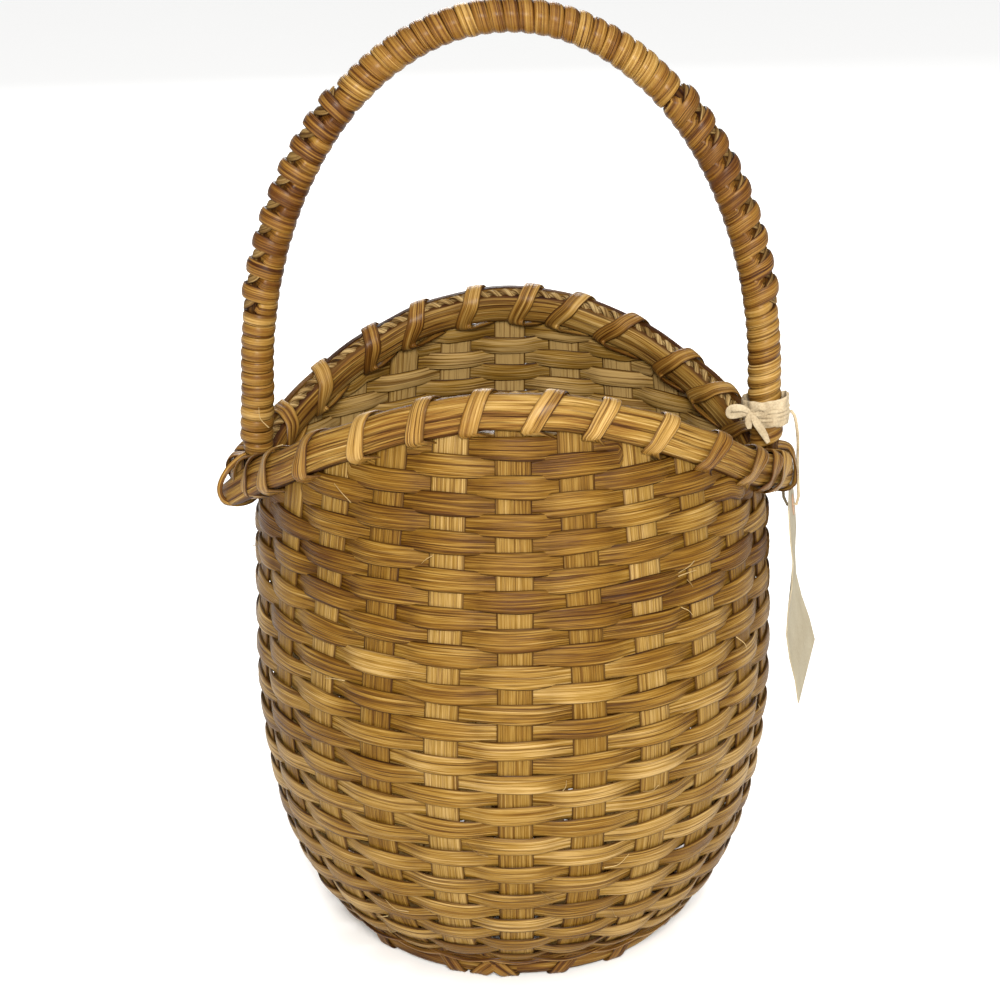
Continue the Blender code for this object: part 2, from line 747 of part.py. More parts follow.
def foot_lashing():
    """Cane that goes round the foot hoop and up through the base. The basket stands on it."""
    off = CLEARANCE + FOOT_CANE_THICKNESS / 2
    outer = FOOT_RADIUS + off
    inner = FOOT_RADIUS - FOOT_THICKNESS - off - FOOT_BEND_ROOM
    wall_turn = math.asin((outer - BASE_RADIUS) / (BELLY_HALF_DEPTH - BASE_RADIUS))
    over = HALF_STAKE + off + FOOT_CANE_WIDTH / 2
    high = wall_height(wall_turn / (math.pi / 2)) + over
    low = BASE_HEIGHT + CROSS_OFFSET + over
    under = FOOT_CANE_THICKNESS / 2
    points, outwards = [], []
    for gap, following in zip(FOOT_GAPS, FOOT_GAPS[1:] + [None]):
        spots = [
            (gap, outer, high, 1, 1),
            (gap, outer, under, 1, -1),
            (gap, inner, under, -1, -1),
            (gap, inner, low, -1, 1),
        ]
        if following:
            spots.append(((gap + following) / 2, (inner + outer) / 2, (low + high) / 2, 0, 1))
        for place, radius, height, out_share, up_share in spots:
            points.append(round_spot(place, radius, height))
            outwards.append(unit(round_spot(place, out_share, up_share)))
    stations = across_path(points, outwards)
    report_gap("foot_lashing", stations, FOOT_CANE_WIDTH, len(points) // len(FOOT_GAPS) + 1)
    strip("foot_lashing", stations, FOOT_CANE_WIDTH, FOOT_CANE_THICKNESS, CANE_LOOK, even=True)


def foot_twine():
    """The twined strand that hides the joint between the foot hoop and the first row."""
    level = level_after(FIRST_ROW_RUN - WEAVER_WIDTH / 2)
    off = PASS_OFFSET + HALF_WEAVER + CLEARANCE + TWINE_RADIUS
    points = []
    for step in range(2 * STAKE_COUNT):
        place = step / 2
        middle, _, up, out = wall_frame(place, level)
        wave = TWINE_WAVE if step % 2 else -TWINE_WAVE
        points.append(middle + out * off - up * wave)
    tube("foot_twine", points, TWINE_RADIUS, CANE_LOOK, closed=True, resolution=0)


# Hang tag
def tie_ring():
    """Middle of the string's loop round the foot of the right leg, and its radius."""
    middle = np.interp(TIE_HEIGHT, HANDLE_Z[:2], HANDLE_X[:2])
    wrapped = (HANDLE_THICKNESS / 2 + CLEARANCE + WRAP_THICKNESS) * HANDLE_WIDTH / HANDLE_THICKNESS
    return middle, (wrapped + CLEARANCE + TIE_RADIUS) / math.cos(math.pi / TIE_SIDES)


def tie_side():
    """The tie's outer side, where the tag's string leaves it and the tag swings."""
    middle, radius = tie_ring()
    return Vector((middle + radius + TIE_RADIUS, 0, TIE_HEIGHT))


def tag_hinge():
    """Empty on the axis that the tag swings about."""
    hinge = bpy.data.objects.new("tag_hinge", None)
    hinge.location = tie_side()
    PARTS.objects.link(hinge)
    return hinge


def hang(piece, hinge):
    """Parents a piece to the hinge without moving it."""
    piece.parent = hinge
    piece.matrix_parent_inverse = Matrix.Translation(-hinge.location)


def tag_matrix():
    turn = Matrix.Rotation(math.pi / 2 - TAG_TURN, 4, "Z")
    lean = Matrix.Rotation(TAG_LEAN, 4, "X")
    roll = Matrix.Rotation(TAG_ROLL, 4, "Y")
    return Matrix.Translation(tie_side() + Vector(TAG_HOLE_FROM_TIE)) @ turn @ lean @ roll


def cutter_through_tag():
    mesh = bpy.data.meshes.new("tag_hole_cutter")
    built = bmesh.new()
    depth = TAG_THICKNESS + TAG_PATCH_THICKNESS + 2 * CUT_OVERRUN
    bmesh.ops.create_cone(
        built, cap_ends=True, segments=HOLE_SIDES, radius1=TAG_HOLE_RADIUS, radius2=TAG_HOLE_RADIUS,
        depth=depth, matrix=Matrix.Rotation(math.pi / 2, 4, "X"),
    )
    built.to_mesh(mesh)
    built.free()
    made = show("tag_hole_cutter", mesh, PAPER_LOOK, CUTTERS)
    made.matrix_world = tag_matrix()
    made.display_type = "WIRE"
    made.hide_render = True
    return made


def cut_hole(piece, cutter):
    hole = piece.modifiers.new("String hole", "BOOLEAN")
    hole.operation = "DIFFERENCE"
    hole.solver = "EXACT"
    hole.object = cutter


def tag_curl(x, height):
    """How far the card stands out of its plane: flat at its hole, bowed and twisted below it."""
    fall = max(0, -height - TAG_CURL_DROP) / (TAG_LENGTH - TAG_HOLE_INSET - TAG_CURL_DROP)
    return TAG_BOW * math.sin(math.pi * fall) ** 2 - x * TAG_TWIST_SHARE * fall


def tag_card(cutter):
    """Card with clipped top corners, hung by a hole near its top edge."""
    left = -TAG_WIDTH / 2 - TAG_HOLE_ASIDE
    mesh = bpy.data.meshes.new("tag_card")
    built = bmesh.new()
    bmesh.ops.create_grid(built, x_segments=TAG_COLUMNS, y_segments=TAG_ROWS, size=1)
    for vertex in built.verts:
        across, row = (1 + vertex.co.x) / 2, (1 - vertex.co.y) / 2 * TAG_ROWS
        clip = TAG_CORNER * max(0, 1 - row)
        drop = TAG_CORNER * min(1, row) + (TAG_LENGTH - TAG_CORNER) * max(0, row - 1) / (TAG_ROWS - 1)
        x = left + clip + across * (TAG_WIDTH - 2 * clip)
        height = TAG_HOLE_INSET - drop
        vertex.co = (x, tag_curl(x, height), height)
    built.to_mesh(mesh)
    built.free()
    card = show("tag_card", mesh, PAPER_LOOK)
    card.matrix_world = tag_matrix()
    solid = card.modifiers.new("Thickness", "SOLIDIFY")
    solid.thickness = TAG_THICKNESS
    solid.offset = 0
    cut_hole(card, cutter)
    return card


def tag_patch(cutter):
    """Round paper patch that stiffens the card at its hole."""
    mesh = bpy.data.meshes.new("tag_patch")
    built = bmesh.new()
    out = (TAG_THICKNESS + TAG_PATCH_THICKNESS) / 2 + PAPER_GAP
    facing = Matrix.Translation((0, -out, 0)) @ Matrix.Rotation(math.pi / 2, 4, "X")
    bmesh.ops.create_cone(
        built, cap_ends=True, segments=PATCH_SIDES, radius1=TAG_PATCH_RADIUS, radius2=TAG_PATCH_RADIUS,
        depth=TAG_PATCH_THICKNESS, matrix=facing,
    )
    built.to_mesh(mesh)
    built.free()
    patch = show("tag_patch", mesh, PATCH_LOOK)
    patch.matrix_world = tag_matrix()
    cut_hole(patch, cutter)
    return patch


def string_tie():
    middle, radius = tie_ring()
    points = []
    for step in range(TIE_SIDES):
        turn = step / TIE_SIDES * 2 * math.pi
        points.append(np.array([middle + radius * math.cos(turn), radius * math.sin(turn), TIE_HEIGHT]))
    tube("string_tie", points, TIE_RADIUS, STRING_LOOK, closed=True, resolution=0)


def smooth_route(points, count):
    """Points along a smooth curve through the given ones."""
    spots = np.array(points)
    padded = np.vstack([2 * spots[0] - spots[1], spots, 2 * spots[-1] - spots[-2]])
    route = []
    for step in range(count):
        along = step / (count - 1) * (len(spots) - 1)
        index = min(int(along), len(spots) - 2)
        t = along - index
        a, b, c, d = padded[index : index + 4]
        curve = (2 * a - 5 * b + 4 * c - d) * t**2 + (3 * b - a - 3 * c + d) * t**3
        route.append((2 * b + (c - a) * t + curve) / 2)
    return route


def tag_string():
    """The free stretch, from the tie over the rim's end, through the card's hole and back to itself."""
    loop = [np.array(tag_matrix() @ Vector(spot)) for spot in STRING_LOOP_FROM_HOLE]
    way_down = [np.array(tie_side() + Vector(spot)) for spot in [(CLEARANCE, 0, 0)] + STRING_ROUTE_FROM_TIE]
    points = smooth_route(way_down + loop[:1], STRING_POINTS) + loop[1:]
    length = sum(np.linalg.norm(b - a) for a, b in zip(points, points[1:]))
    print(f"tag_string: {length * MILLIMETRES:.1f} mm long")
    return tube("tag_string", points, STRING_RADIUS, STRING_LOOK, resolution=2)


weaver_rings()
packing_weaver("packing_front", 0)
packing_weaver("packing_back", BACK_STAKE)
spokes()
rim_hoop("rim_outer", 1)
rim_hoop("rim_inner", -1)
rim_filler("rim_filler_front", -SIDE_STAKE + FILLER_GAP_STAKES, SIDE_STAKE - FILLER_GAP_STAKES)
rim_filler("rim_filler_back", SIDE_STAKE + FILLER_GAP_STAKES, STAKE_COUNT - SIDE_STAKE - FILLER_GAP_STAKES)
rim_lashing()
handle_core()
handle_wraps()
foot_hoop()
foot_lashing()
foot_twine()
string_tie()
HOLE_CUTTER = cutter_through_tag()
HINGE = tag_hinge()
for tag_piece in (tag_card(HOLE_CUTTER), tag_patch(HOLE_CUTTER), tag_string()):
    hang(tag_piece, HINGE)
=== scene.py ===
"""Looks of the splint basket: woven splints, grained hoops, wound cane, twisted rope, a blank tag. Metres.

Places round the wall are counted in stakes, as in the solids: 0 is the front middle and 6 the right side.
"""

import math

import bmesh
import bpy
import numpy as np
from mathutils import Matrix, Vector


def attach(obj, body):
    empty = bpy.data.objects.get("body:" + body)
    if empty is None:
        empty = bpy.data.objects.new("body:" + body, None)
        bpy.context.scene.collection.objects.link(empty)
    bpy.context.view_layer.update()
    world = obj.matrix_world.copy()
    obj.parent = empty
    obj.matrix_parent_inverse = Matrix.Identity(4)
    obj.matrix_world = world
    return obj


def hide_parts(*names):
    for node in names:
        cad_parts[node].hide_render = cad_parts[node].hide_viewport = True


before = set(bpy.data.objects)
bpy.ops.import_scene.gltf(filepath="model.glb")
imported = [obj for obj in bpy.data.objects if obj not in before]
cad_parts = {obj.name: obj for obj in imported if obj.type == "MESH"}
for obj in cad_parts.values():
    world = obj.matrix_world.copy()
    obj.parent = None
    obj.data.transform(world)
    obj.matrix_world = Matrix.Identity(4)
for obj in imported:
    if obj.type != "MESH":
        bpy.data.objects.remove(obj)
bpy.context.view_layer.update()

# Camera, fitted to the photograph's 1000 by 1000 frame
CAMERA_SPOT = (-0.00507, -0.90159, 0.51612)
CAMERA_PITCH = math.radians(20.02)
CAMERA_ROLL = -0.0102
LENS = 81.77
SENSOR = 36

# Sizes of the solids
BELLY_HALF_WIDTH = 0.1080
BELLY_HALF_DEPTH = 0.1140
BELLY_HEIGHT = 0.1250
BASE_RADIUS = 0.0700
MOUTH_HALF_WIDTH = 0.1030
MOUTH_HALF_DEPTH = 0.0790
MOUTH_HEIGHT = 0.2500
TAPER_POWER = 1.25
MOUTH_POINT_POWER = 1.22
STAKE_COUNT = 24
STAKE_WIDTH = 0.0130
STAKE_THICKNESS = 0.0012
WEAVER_WIDTH = 0.0062
WEAVER_THICKNESS = 0.0012
ROW_PITCH = 0.0071
RING_COUNT = 25
FIRST_ROW_RUN = 0.0142
BASE_SPACING = 0.0160
FRONT_SPOKES = 7
SIDE_SPOKES = 5
CLEARANCE = 0.00035
RIM_FRONT_HEIGHT = 0.2530
RIM_SIDE_HEIGHT = 0.2020
RIM_SADDLE_POWER = 1.8
RIM_WIDTH = 0.0150
RIM_THICKNESS = 0.0032
RIM_BEND_ROOM = 0.0006
RIM_TIP_POWER = 26
RIM_TIP_ROOM = 0.00675
FILLER_GAP_STAKES = 0.52
LASHING_THICKNESS = 0.0010
ARCH_SPRING_HEIGHT = 0.2380
ARCH_RISE = 0.1520
LEG_END_HEIGHT = 0.2120
LEG_LEAN = 0.0018
LEG_STAND_OFF = 0.0020
HANDLE_THICKNESS = 0.0104
HANDLE_WIDTH = 0.0120
WRAP_START_RISE = 0.0070
LEG_WRAP_LENGTH = 0.0512
FLANK_WRAP_LENGTH = 0.0880
WRAP_WIDTH = 0.0053
WRAP_THICKNESS = 0.0010
FOOT_RADIUS = 0.0735
FOOT_THICKNESS = 0.0050
FOOT_HEIGHT = 0.0105
FOOT_CANE_THICKNESS = 0.0012
TWINE_WIDTH = 0.0028
TWINE_SWING = 0.0011
TWINE_DROP = 0.0012
TAG_TURN = math.radians(9)
TAG_LEAN = math.radians(-7)
TAG_ROLL = math.radians(-12)
TAG_HOLE_FROM_TIE = (0.0050, 0.0200, -0.0490)
TAG_HOLE_RADIUS = 0.0012
TAG_PATCH_RADIUS = 0.0048
STRING_RADIUS = 0.0007
STRING_POINTS = 20
STRING_ROUTE_FROM_TIE = [(0.0024, 0.0010, -0.0035), (0.0043, 0.0040, -0.0140), (0.0055, 0.0110, -0.0270)]
STRING_LOOP_FROM_HOLE = [
    *((0, -0.0040, 0.0160), (0, -0.0036, 0.0100), (0, -0.0032, 0.0040), (0, -0.0020, 0), (0, 0.0020, 0)),
    *((0, 0.0032, 0.0040), (0, 0.0030, 0.0115), (0, 0.0006, 0.0157), (0, -0.0028, 0.0170)),
]
TIE_RADIUS = 0.0011
TIE_RISE = 0.0140
TIE_SIDES = 16

# Looks: what the photograph adds to the solids, in the wall, the rim, the handle, the foot and the tie
WEAVER_LOOK_WIDTH = 0.0085
WEAVER_PINCH_SHARE = 0.12
PACKING_LOOK_WIDTH = 0.0094
PACKING_PINCH_SHARE = 0.07
HIDDEN_ROWS = 20
# Painted shade: how much darker a weaver is drawn where it dives behind a stake
DIVE_PAINTED_SHADE = 0.22
PASS_TONE_SWING = 0.22
MIDDLE_TONE = 0.58
BROWNED_ROWS = 0.45
# Painted light: how much paler the inner faces of weavers and stakes are drawn, so that the basket's inside
# looks brighter
INSIDE_PAINTED_LIGHT = 0.62
STAKE_LOOK_WIDTH = 0.0141
WEAVER_DOME = 0.0004
WAVE_SHARPNESS = 1.1
DIVE_POWER = 1.5
STEPS_PER_STAKE = 10
SEAM_STEP = 5
TURN_STEPS = (0.2, 0.4, 0.6, 0.8)
BROWNED_FROM = 14
BROWNED_TO = 30
ROW_TONE_SWING = 0.08
FINE_TONE_SWING = 0.05
ROW_WANDER = 0.00045
WIDTH_WANDER_SHARE = 0.07
TILT_WANDER = math.radians(5)
GROOVE_DEPTH = 0.00012
WEAVER_RIDGES = 4
CANE_RIDGES = 5
STAKE_WANDER = 0.0004
STAKE_DOME = 0.0003
ROW_TUCK = 0.0090
PACKING_END_SHARE = 0.70
TURN_SHARE = 0.08
HOOP_DOME = 0.0014
HOOP_WANDER = 0.0004
HOOP_WIDTH_WANDER_SHARE = 0.03
HOOP_OVERLAP = 0.4
OUTER_HOOP_TOP = 0.0062
INNER_HOOP_TOP = 0.0048
HOOP_BOTTOM = -0.0082
ROPE_PLY_RADIUS = 0.0013
ROPE_TWIST = 0.0110
ROPE_RISE = 0.0041
ROPE_PLIES = 2
PLY_REACH = 0.92
LASH_TOP = 0.0073
LASH_BOTTOM = -0.0091
LASH_LIFT = 0.0006
BAND_DOME = 0.0003
LASH_PLACE_WANDER = 0.06
LASH_SLANTS = (0.75, 1.25)
WRAP_PITCH = 0.0054
CROWN_PITCH = 0.0059
WRAP_DOME = 0.0007
WRAP_WANDER_SHARE = 0.014
TUCK_TURNS = 0.3
FLANK_WIDTHS = (0.98, 1.26)
WRAP_WIDTH_SHARE = 1.04
END_TUCK = 0.30
FLANK_SLANT = 0.0016
LEG_SLANT = 0.0010
LEADER_WIDTH = 0.0040
LEADER_REACH = math.radians(58)
LEADER_LIFT = 0.0009
LEADER_CROSSING = 0.0004
LEADER_THICKNESS = 0.0007
LEADER_DOME = 0.0002
LEADER_STEPS = 16
OVER_RISE = 0.0017
UNDER_SINK = 0.0026
LOOSE_FROM = -4.9
LOOSE_END = -6.15
LOOSE_END_OUT = 0.0060
LOOSE_END_DROP = 0.0125
LOOSE_END_NARROWING = 0.45
LOOSE_OUT_POWER = 1.5
LOOSE_DROP_POWER = 1.6
LASH_LOOK_WIDTH = 0.0073
CORNER_LASHES = [5.12, 6.05, 17.95, 18.88]
TIP_LOOP_WIDTH = 0.0024
TIP_LOOP_RIDGES = 2
TIP_LOOP_TONE = 0.55
TIP_LOOP_FACING = (-0.3, -1.0, 0.3)
TIP_LOOP = [
    *((-0.1120, -0.0040, 0.2100), (-0.1180, -0.0100, 0.2060), (-0.1215, -0.0120, 0.1990)),
    *((-0.1200, -0.0115, 0.1930), (-0.1140, -0.0090, 0.1905), (-0.1080, 0.0000, 0.1905)),
    *((-0.1065, 0.0060, 0.1990), (-0.1080, 0.0030, 0.2080)),
]
FOOT_BAND_WIDTH = 0.0064
FOOT_BAND_RIDGES = 4
FOOT_BAND_STEPS = 36
FOOT_BAND_FLARE = 0.0012
FOOT_BAND_RISE = 0.0030
FOOT_BAND_SHOULDER = 0.0020
FOOT_BAND_CORNER = 0.0010
FOOT_BANDS = [
    *((1.1, 0.5), (2.5, 0.5), (4.5, 0.3), (7.5, -0.3), (9.43, 0.3), (11.5, 0.4), (12.5, -0.3)),
    *((14.57, 0.3), (16.5, 0.3), (18.5, -0.3), (20.5, -0.5), (22.5, -0.4), (23.45, 0.7), (23.55, -0.7)),
]
TWINE_STEPS = 480
TWINE_DOME = 0.0003
TWINE_PLY_RISE = 0.0004
PATCH_SIDES = 32
PATCH_OFFSET = 0.0005
PATCH_THICKNESS = 0.0004
TIE_TURNS = 3
TIE_STEPS = 120
TIE_SPREAD = 0.0027
TIE_STRAND_SHARE = 0.9
GAUZE_STEPS = 72
GAUZE_WIDTH = 0.0062
GAUZE_WANDER = 0.0006
GAUZE_THICKNESS = 0.0005
GAUZE_DOME = 0.0002
GAUZE_RIDGES = 4
CRUMPLE = 0.25
GAUZE_BANDS = [(0.0036, 0.0012, 0.4), (-0.0012, 0.0018, 2.6), (0.0012, 0.0022, 4.4)]
BOW_KNOT_FROM_TIE = (-0.0070, -0.0085, 0.0020)
BOW_FACING = (0.25, -1.0, 0.3)
BOW_STEPS = 24
BOW_WIDTH = 0.0034
BOW_TIP_SHARE = 0.55
BOW_RIDGES = 3
BOW_START = (0, 0, 0)
BOW_END = (0, -0.0004, 0)
BOW_TAIL_START = (0, -0.0006, 0)
BOW_LOOPS = [
    [BOW_START, (-0.0045, -0.0018, 0.0026), (-0.0085, -0.0012, 0.0018), (-0.0080, -0.0006, -0.0010), BOW_END],
    [BOW_START, (0.0030, -0.0022, 0.0030), (0.0062, -0.0018, 0.0024), (0.0050, -0.0010, -0.0002), BOW_END],
    [BOW_TAIL_START, (0.0018, -0.0028, -0.0030), (0.0050, -0.0032, -0.0078), (0.0072, -0.0036, -0.0120)],
    [BOW_TAIL_START, (-0.0010, -0.0024, -0.0026), (-0.0008, -0.0030, -0.0060)],
]
FIBRE_COUNT = 26
FIBRE_LENGTHS = (0.004, 0.011)
FIBRE_RADIUS = 0.00022
FIBRE_STEPS = 8
FIBRE_LEVELS = (0.25, 1.85)
FIBRE_CLIMBS = (-0.6, 0.8)
FIBRE_BEND = 0.4
FIBRE_SHAPE = [(0.5, 0.20, 0.3), (1, 0.12, 1)]
FIBRE_TIP_SHARE = 0.4

# Tones, from 0 for dark to 1 for pale
SPOKE_TONES = (0.35, 0.75)
LASH_TONES = (0.35, 0.70)
LASH_TONE_SWING = 0.1
# Painted shade: the foot's bands are drawn darker, for the shade under the belly
FOOT_BAND_PAINTED_SHADE_TONES = (0.2, 0.5)
FIBRE_TONES = (0.6, 1)
WRAP_TONE = 0.5
# Painted shade: the flanks' cane is drawn darker, for the shade in their windows and grooves
FLANK_PAINTED_SHADE_TONE = 0.26
WRAP_TONE_SWING = 0.2
LEADER_TONE = 0.40
# Painted shade: the handle's core, seen only between the wraps, is drawn dark
CORE_PAINTED_SHADE_VALUES = {"edge": 0.2, "tone": 0.3, "shade": 0.15, "grain": 0.3}

# Random draws
RING_SEED = 100
FRONT_SPOKE_SEED = 200
SIDE_SPOKE_SEED = 220
WRAP_SEED = 60
CROWN_SEED = 70
WAVE_SIZES = (0.4, 1)
WANDER_SPREAD = 0.98

# Studio
WORLD_STRENGTH = 0.38
KEY_TINT = (1, 0.97, 0.92)
KEY_LIGHT = {"spot": (0.05, -1.5, 0.95), "target": (0, 0, 0.2), "size": 0.5, "power": 46, "colour": KEY_TINT}
BACK_FILL = {"spot": (-0.2, 1.6, 1.1), "target": (0, 0, 0.15), "size": 0.9, "power": 24}
SUN_DIRECTION = (0.15, -0.35, 1)
SUN_STRENGTH = 1.9
SUN_SPREAD = math.radians(50)
FLOOR_RADIUS = 9
FLOOR_SIDES = 96
FLOOR_DROP = 0.0001

# Worked out
HALF_STAKE = STAKE_THICKNESS / 2
HALF_WEAVER = WEAVER_THICKNESS / 2
PASS_OFFSET = HALF_STAKE + HALF_WEAVER + CLEARANCE
CROSS_OFFSET = HALF_STAKE + CLEARANCE / 2
STAKE_EDGE = STAKE_WIDTH / 2 + CLEARANCE
FOOT_BOTTOM = FOOT_CANE_THICKNESS + CLEARANCE
FOOT_TOP = FOOT_BOTTOM + FOOT_HEIGHT
BASE_HEIGHT = FOOT_TOP + CLEARANCE + HALF_STAKE + CROSS_OFFSET / 2
SIDE_STAKE = STAKE_COUNT // 4
BACK_STAKE = STAKE_COUNT // 2
FILLER_REACH = SIDE_STAKE - FILLER_GAP_STAKES
TIE_HEIGHT = LEG_END_HEIGHT + TIE_RISE
WEAVER_STEPS = STAKE_COUNT * STEPS_PER_STAKE
PLAN_STEPS = 721
SLOPE_STEP = 1e-4
RIM_SLOPE_STEP = 0.05
ARCH_SLOPE_STEP = 0.002


def unit(vectors):
    vectors = np.asarray(vectors, float)
    return vectors / np.linalg.norm(vectors, axis=-1, keepdims=True)


def columns(rows):
    """An array of each column of rows of vectors."""
    return [np.array(column) for column in zip(*rows)]


def run_along(points):
    """The distance along a path to each of its points."""
    return np.concatenate([[0], np.cumsum(np.linalg.norm(np.diff(points, axis=0), axis=1))])


# Wall, as in the solids
def wall_height(level):
    if level <= 1:
        return BELLY_HEIGHT - (BELLY_HEIGHT - BASE_HEIGHT) * math.cos(level * math.pi / 2)
    return BELLY_HEIGHT + (level - 1) * (MOUTH_HEIGHT - BELLY_HEIGHT)


def level_at(height):
    if height <= BELLY_HEIGHT:
        below = (BELLY_HEIGHT - height) / (BELLY_HEIGHT - BASE_HEIGHT)
        return math.acos(min(1, max(0, below))) / (math.pi / 2)
    return 1 + (height - BELLY_HEIGHT) / (MOUTH_HEIGHT - BELLY_HEIGHT)


def half_size(level, belly, mouth):
    if level <= 1:
        return BASE_RADIUS + (belly - BASE_RADIUS) * math.sin(max(0, level) * math.pi / 2)
    return belly - (belly - mouth) * (level - 1) ** TAPER_POWER


PLAN_TABLES = {}


def plan_table(level):
    key = round(level, 6)
    if key not in PLAN_TABLES:
        turn = np.linspace(0, 2 * np.pi, PLAN_STEPS)
        point_power = 1 + (MOUTH_POINT_POWER - 1) * min(1, max(0, level - 1))
        inward = np.abs(np.cos(turn)) ** point_power * np.sign(np.cos(turn))
        x = half_size(level, BELLY_HALF_WIDTH, MOUTH_HALF_WIDTH) * np.sin(turn)
        y = -half_size(level, BELLY_HALF_DEPTH, MOUTH_HALF_DEPTH) * inward
        run = run_along(np.stack([x, y], 1))
        PLAN_TABLES[key] = (x, y, run / run[-1] * STAKE_COUNT)
    return PLAN_TABLES[key]


def wall_point(place, level):
    x, y, run = plan_table(level)
    place = place % STAKE_COUNT
    return np.array([np.interp(place, run, x), np.interp(place, run, y), wall_height(level)])


def wall_frame(place, level):
    """Point on the wall with its directions: along the wall to the right, up the wall, and outwards."""
    step = SLOPE_STEP * STAKE_COUNT
    along = unit(wall_point(place + step, level) - wall_point(place - step, level))
    up = wall_point(place, level + SLOPE_STEP) - wall_point(place, max(0, level - SLOPE_STEP))
    up = unit(up - along * np.dot(up, along))
    return wall_point(place, level), along, up, np.cross(along, up)


def mean_meridian():
    levels = np.linspace(0, 2, PLAN_STEPS)
    wide = [half_size(v, BELLY_HALF_WIDTH, MOUTH_HALF_WIDTH) for v in levels]
    deep = [half_size(v, BELLY_HALF_DEPTH, MOUTH_HALF_DEPTH) for v in levels]
    reach = (np.array(wide) + np.array(deep)) / 2
    rise = [wall_height(v) for v in levels]
    return levels, run_along(np.stack([reach, rise], 1))


MERIDIAN_LEVELS, MERIDIAN_RUN = mean_meridian()


def row_level(row):
    return float(np.interp(FIRST_ROW_RUN + row * ROW_PITCH, MERIDIAN_RUN, MERIDIAN_LEVELS))


# Shapes: a skin is a dict of corner, face and strip-coordinate arrays, and pieces are joined from skins
POINT_LABELS = ("edge", "tone", "shade", "grain")
SHARP_ANGLE = math.radians(60)


def skin(middles, acrosses, outs, section, closed=False, tone=0.5, shade=1.0, inside_painted_light=0.0):
    """A skin through sections of (across, out) offsets: one for all the path, or one for each point."""
    middles = np.asarray(middles, float)
    count = len(middles)
    section = np.broadcast_to(section, (count, *np.asarray(section).shape[-2:]))
    sides = section.shape[1]
    across = np.asarray(acrosses, float)[:, None, :] * section[..., 0:1]
    corners = middles[:, None, :] + across + np.asarray(outs, float)[:, None, :] * section[..., 1:2]
    run = run_along([*middles, middles[0]])
    spans = count if closed else count - 1
    row, side = (index.ravel() for index in np.indices((spans, sides)))
    beside = (side + 1) % sides
    here, after = row * sides, (row + 1) % count * sides
    faces = np.stack([here + side, here + beside, after + beside, after + side], 1)
    along = run[np.stack([row, row, row + 1, row + 1], 1)]
    ends = [] if closed else [list(range(sides))[::-1], list(range((count - 1) * sides, count * sides))]
    return {
        "corners": corners.reshape(-1, 3),
        "faces": faces,
        "ends": ends,
        "coords": np.stack([along, section[..., 0].ravel()[faces]], -1).reshape(-1, 2),
        "edge": np.abs(section[..., 0] / np.abs(section[..., 0]).max(axis=1, keepdims=True)).ravel(),
        # Painted light: the inner faces' tone is raised
        "tone": np.repeat(np.broadcast_to(tone, count), sides) + inside_painted_light * (section[..., 1] < 0).ravel(),
        "shade": np.repeat(np.broadcast_to(shade, count), sides),
        "grain": np.full(count * sides, float(np.ravel(tone)[0])),
    }


def linked(name, data):
    """A new object with the given data, in the scene."""
    made = bpy.data.objects.new(name, data)
    bpy.context.scene.collection.objects.link(made)
    return made


def set_values(mesh, label, values):
    """Keeps one number for each corner of a mesh, for the materials to read."""
    mesh.attributes.new(label, "FLOAT", "POINT").data.foreach_set("value", values.astype(np.float32))


def piece(name, skins, look, nodes=(), body="basket"):
    """One object from skins, with its strip coordinates and point values, riding on its CAD body."""
    faces, ends, start = [], [], 0
    for part in skins:
        faces += (part["faces"] + start).tolist()
        ends += [[index + start for index in face] for face in part["ends"]]
        start += len(part["corners"])
    corners, coords = (np.concatenate([part[label] for part in skins]) for label in ("corners", "coords"))
    mesh = bpy.data.meshes.new(name)
    mesh.from_pydata(corners.tolist(), [], faces + ends)
    padding = np.zeros((sum(len(face) for face in ends), 2))
    mesh.uv_layers.new(name="strip").data.foreach_set("uv", np.concatenate([coords, padding]).ravel())
    for label in POINT_LABELS:
        set_values(mesh, label, np.concatenate([part[label] for part in skins]))
    mesh.materials.append(LOOKS[look])
    made = linked(name, mesh)
    fix_normals(mesh)
    mesh.shade_smooth()
    mesh.set_sharp_from_angle(angle=SHARP_ANGLE)
    dress(made, body, nodes)


def fix_normals(mesh):
    built = bmesh.new()
    built.from_mesh(mesh)
    bmesh.ops.recalc_face_normals(built, faces=built.faces)
    built.to_mesh(mesh)
    built.free()


def dress(made, body, nodes):
    """Rides an object on its CAD body, in place of the CAD nodes that it shows."""
    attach(made, body)
    if nodes:
        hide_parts(*nodes)
    return made


# Shares of half a width across, and of half a thickness outwards
def mirrored(crown):
    """A section's crown from its left half, the middle point left out."""
    return [*crown, *((-across, out) for across, out in reversed(crown))]


FLAT_CROWN = [(-1, 0), (-0.92, 0.62), (-0.55, 0.94)]
FLAT_SHARES = [*FLAT_CROWN, (0, 1), *mirrored(FLAT_CROWN)[3:], (0.88, -0.7), (0, -1), (-0.88, -0.7)]
HOOP_CROWN = [(-1, -0.8), (-0.99, 0.0), (-0.9, 0.45), (-0.65, 0.82), (-0.25, 1.0)]
HOOP_SHARES = [*mirrored(HOOP_CROWN), (0.9, -1), (-0.9, -1)]
ROUND_SHARES = np.array([(math.cos(a), math.sin(a)) for a in np.arange(8) * math.pi / 4])
RIDGED_REACH = 0.94
BACK_REACH = 0.85
BACK_DROP = 0.7


def sections_of(widths, shares, heights):
    """One section for each width, with the same heights in all."""
    across = np.asarray(shares) * np.atleast_1d(widths)[:, None] / 2
    return np.stack([across, np.broadcast_to(heights, across.shape)], -1)


def round_sections(sizes):
    return ROUND_SHARES * np.atleast_1d(sizes)[:, None, None]


def crowned_sections(widths, thickness, dome=0.0, shares=FLAT_SHARES, side=1):
    """Sections of a splint or a hoop, its outer face raised by the dome. At side -1 it faces inwards."""
    across, out = np.array(shares).T
    return sections_of(widths, across, side * out * np.where(out > 0, thickness / 2 + dome, thickness / 2))


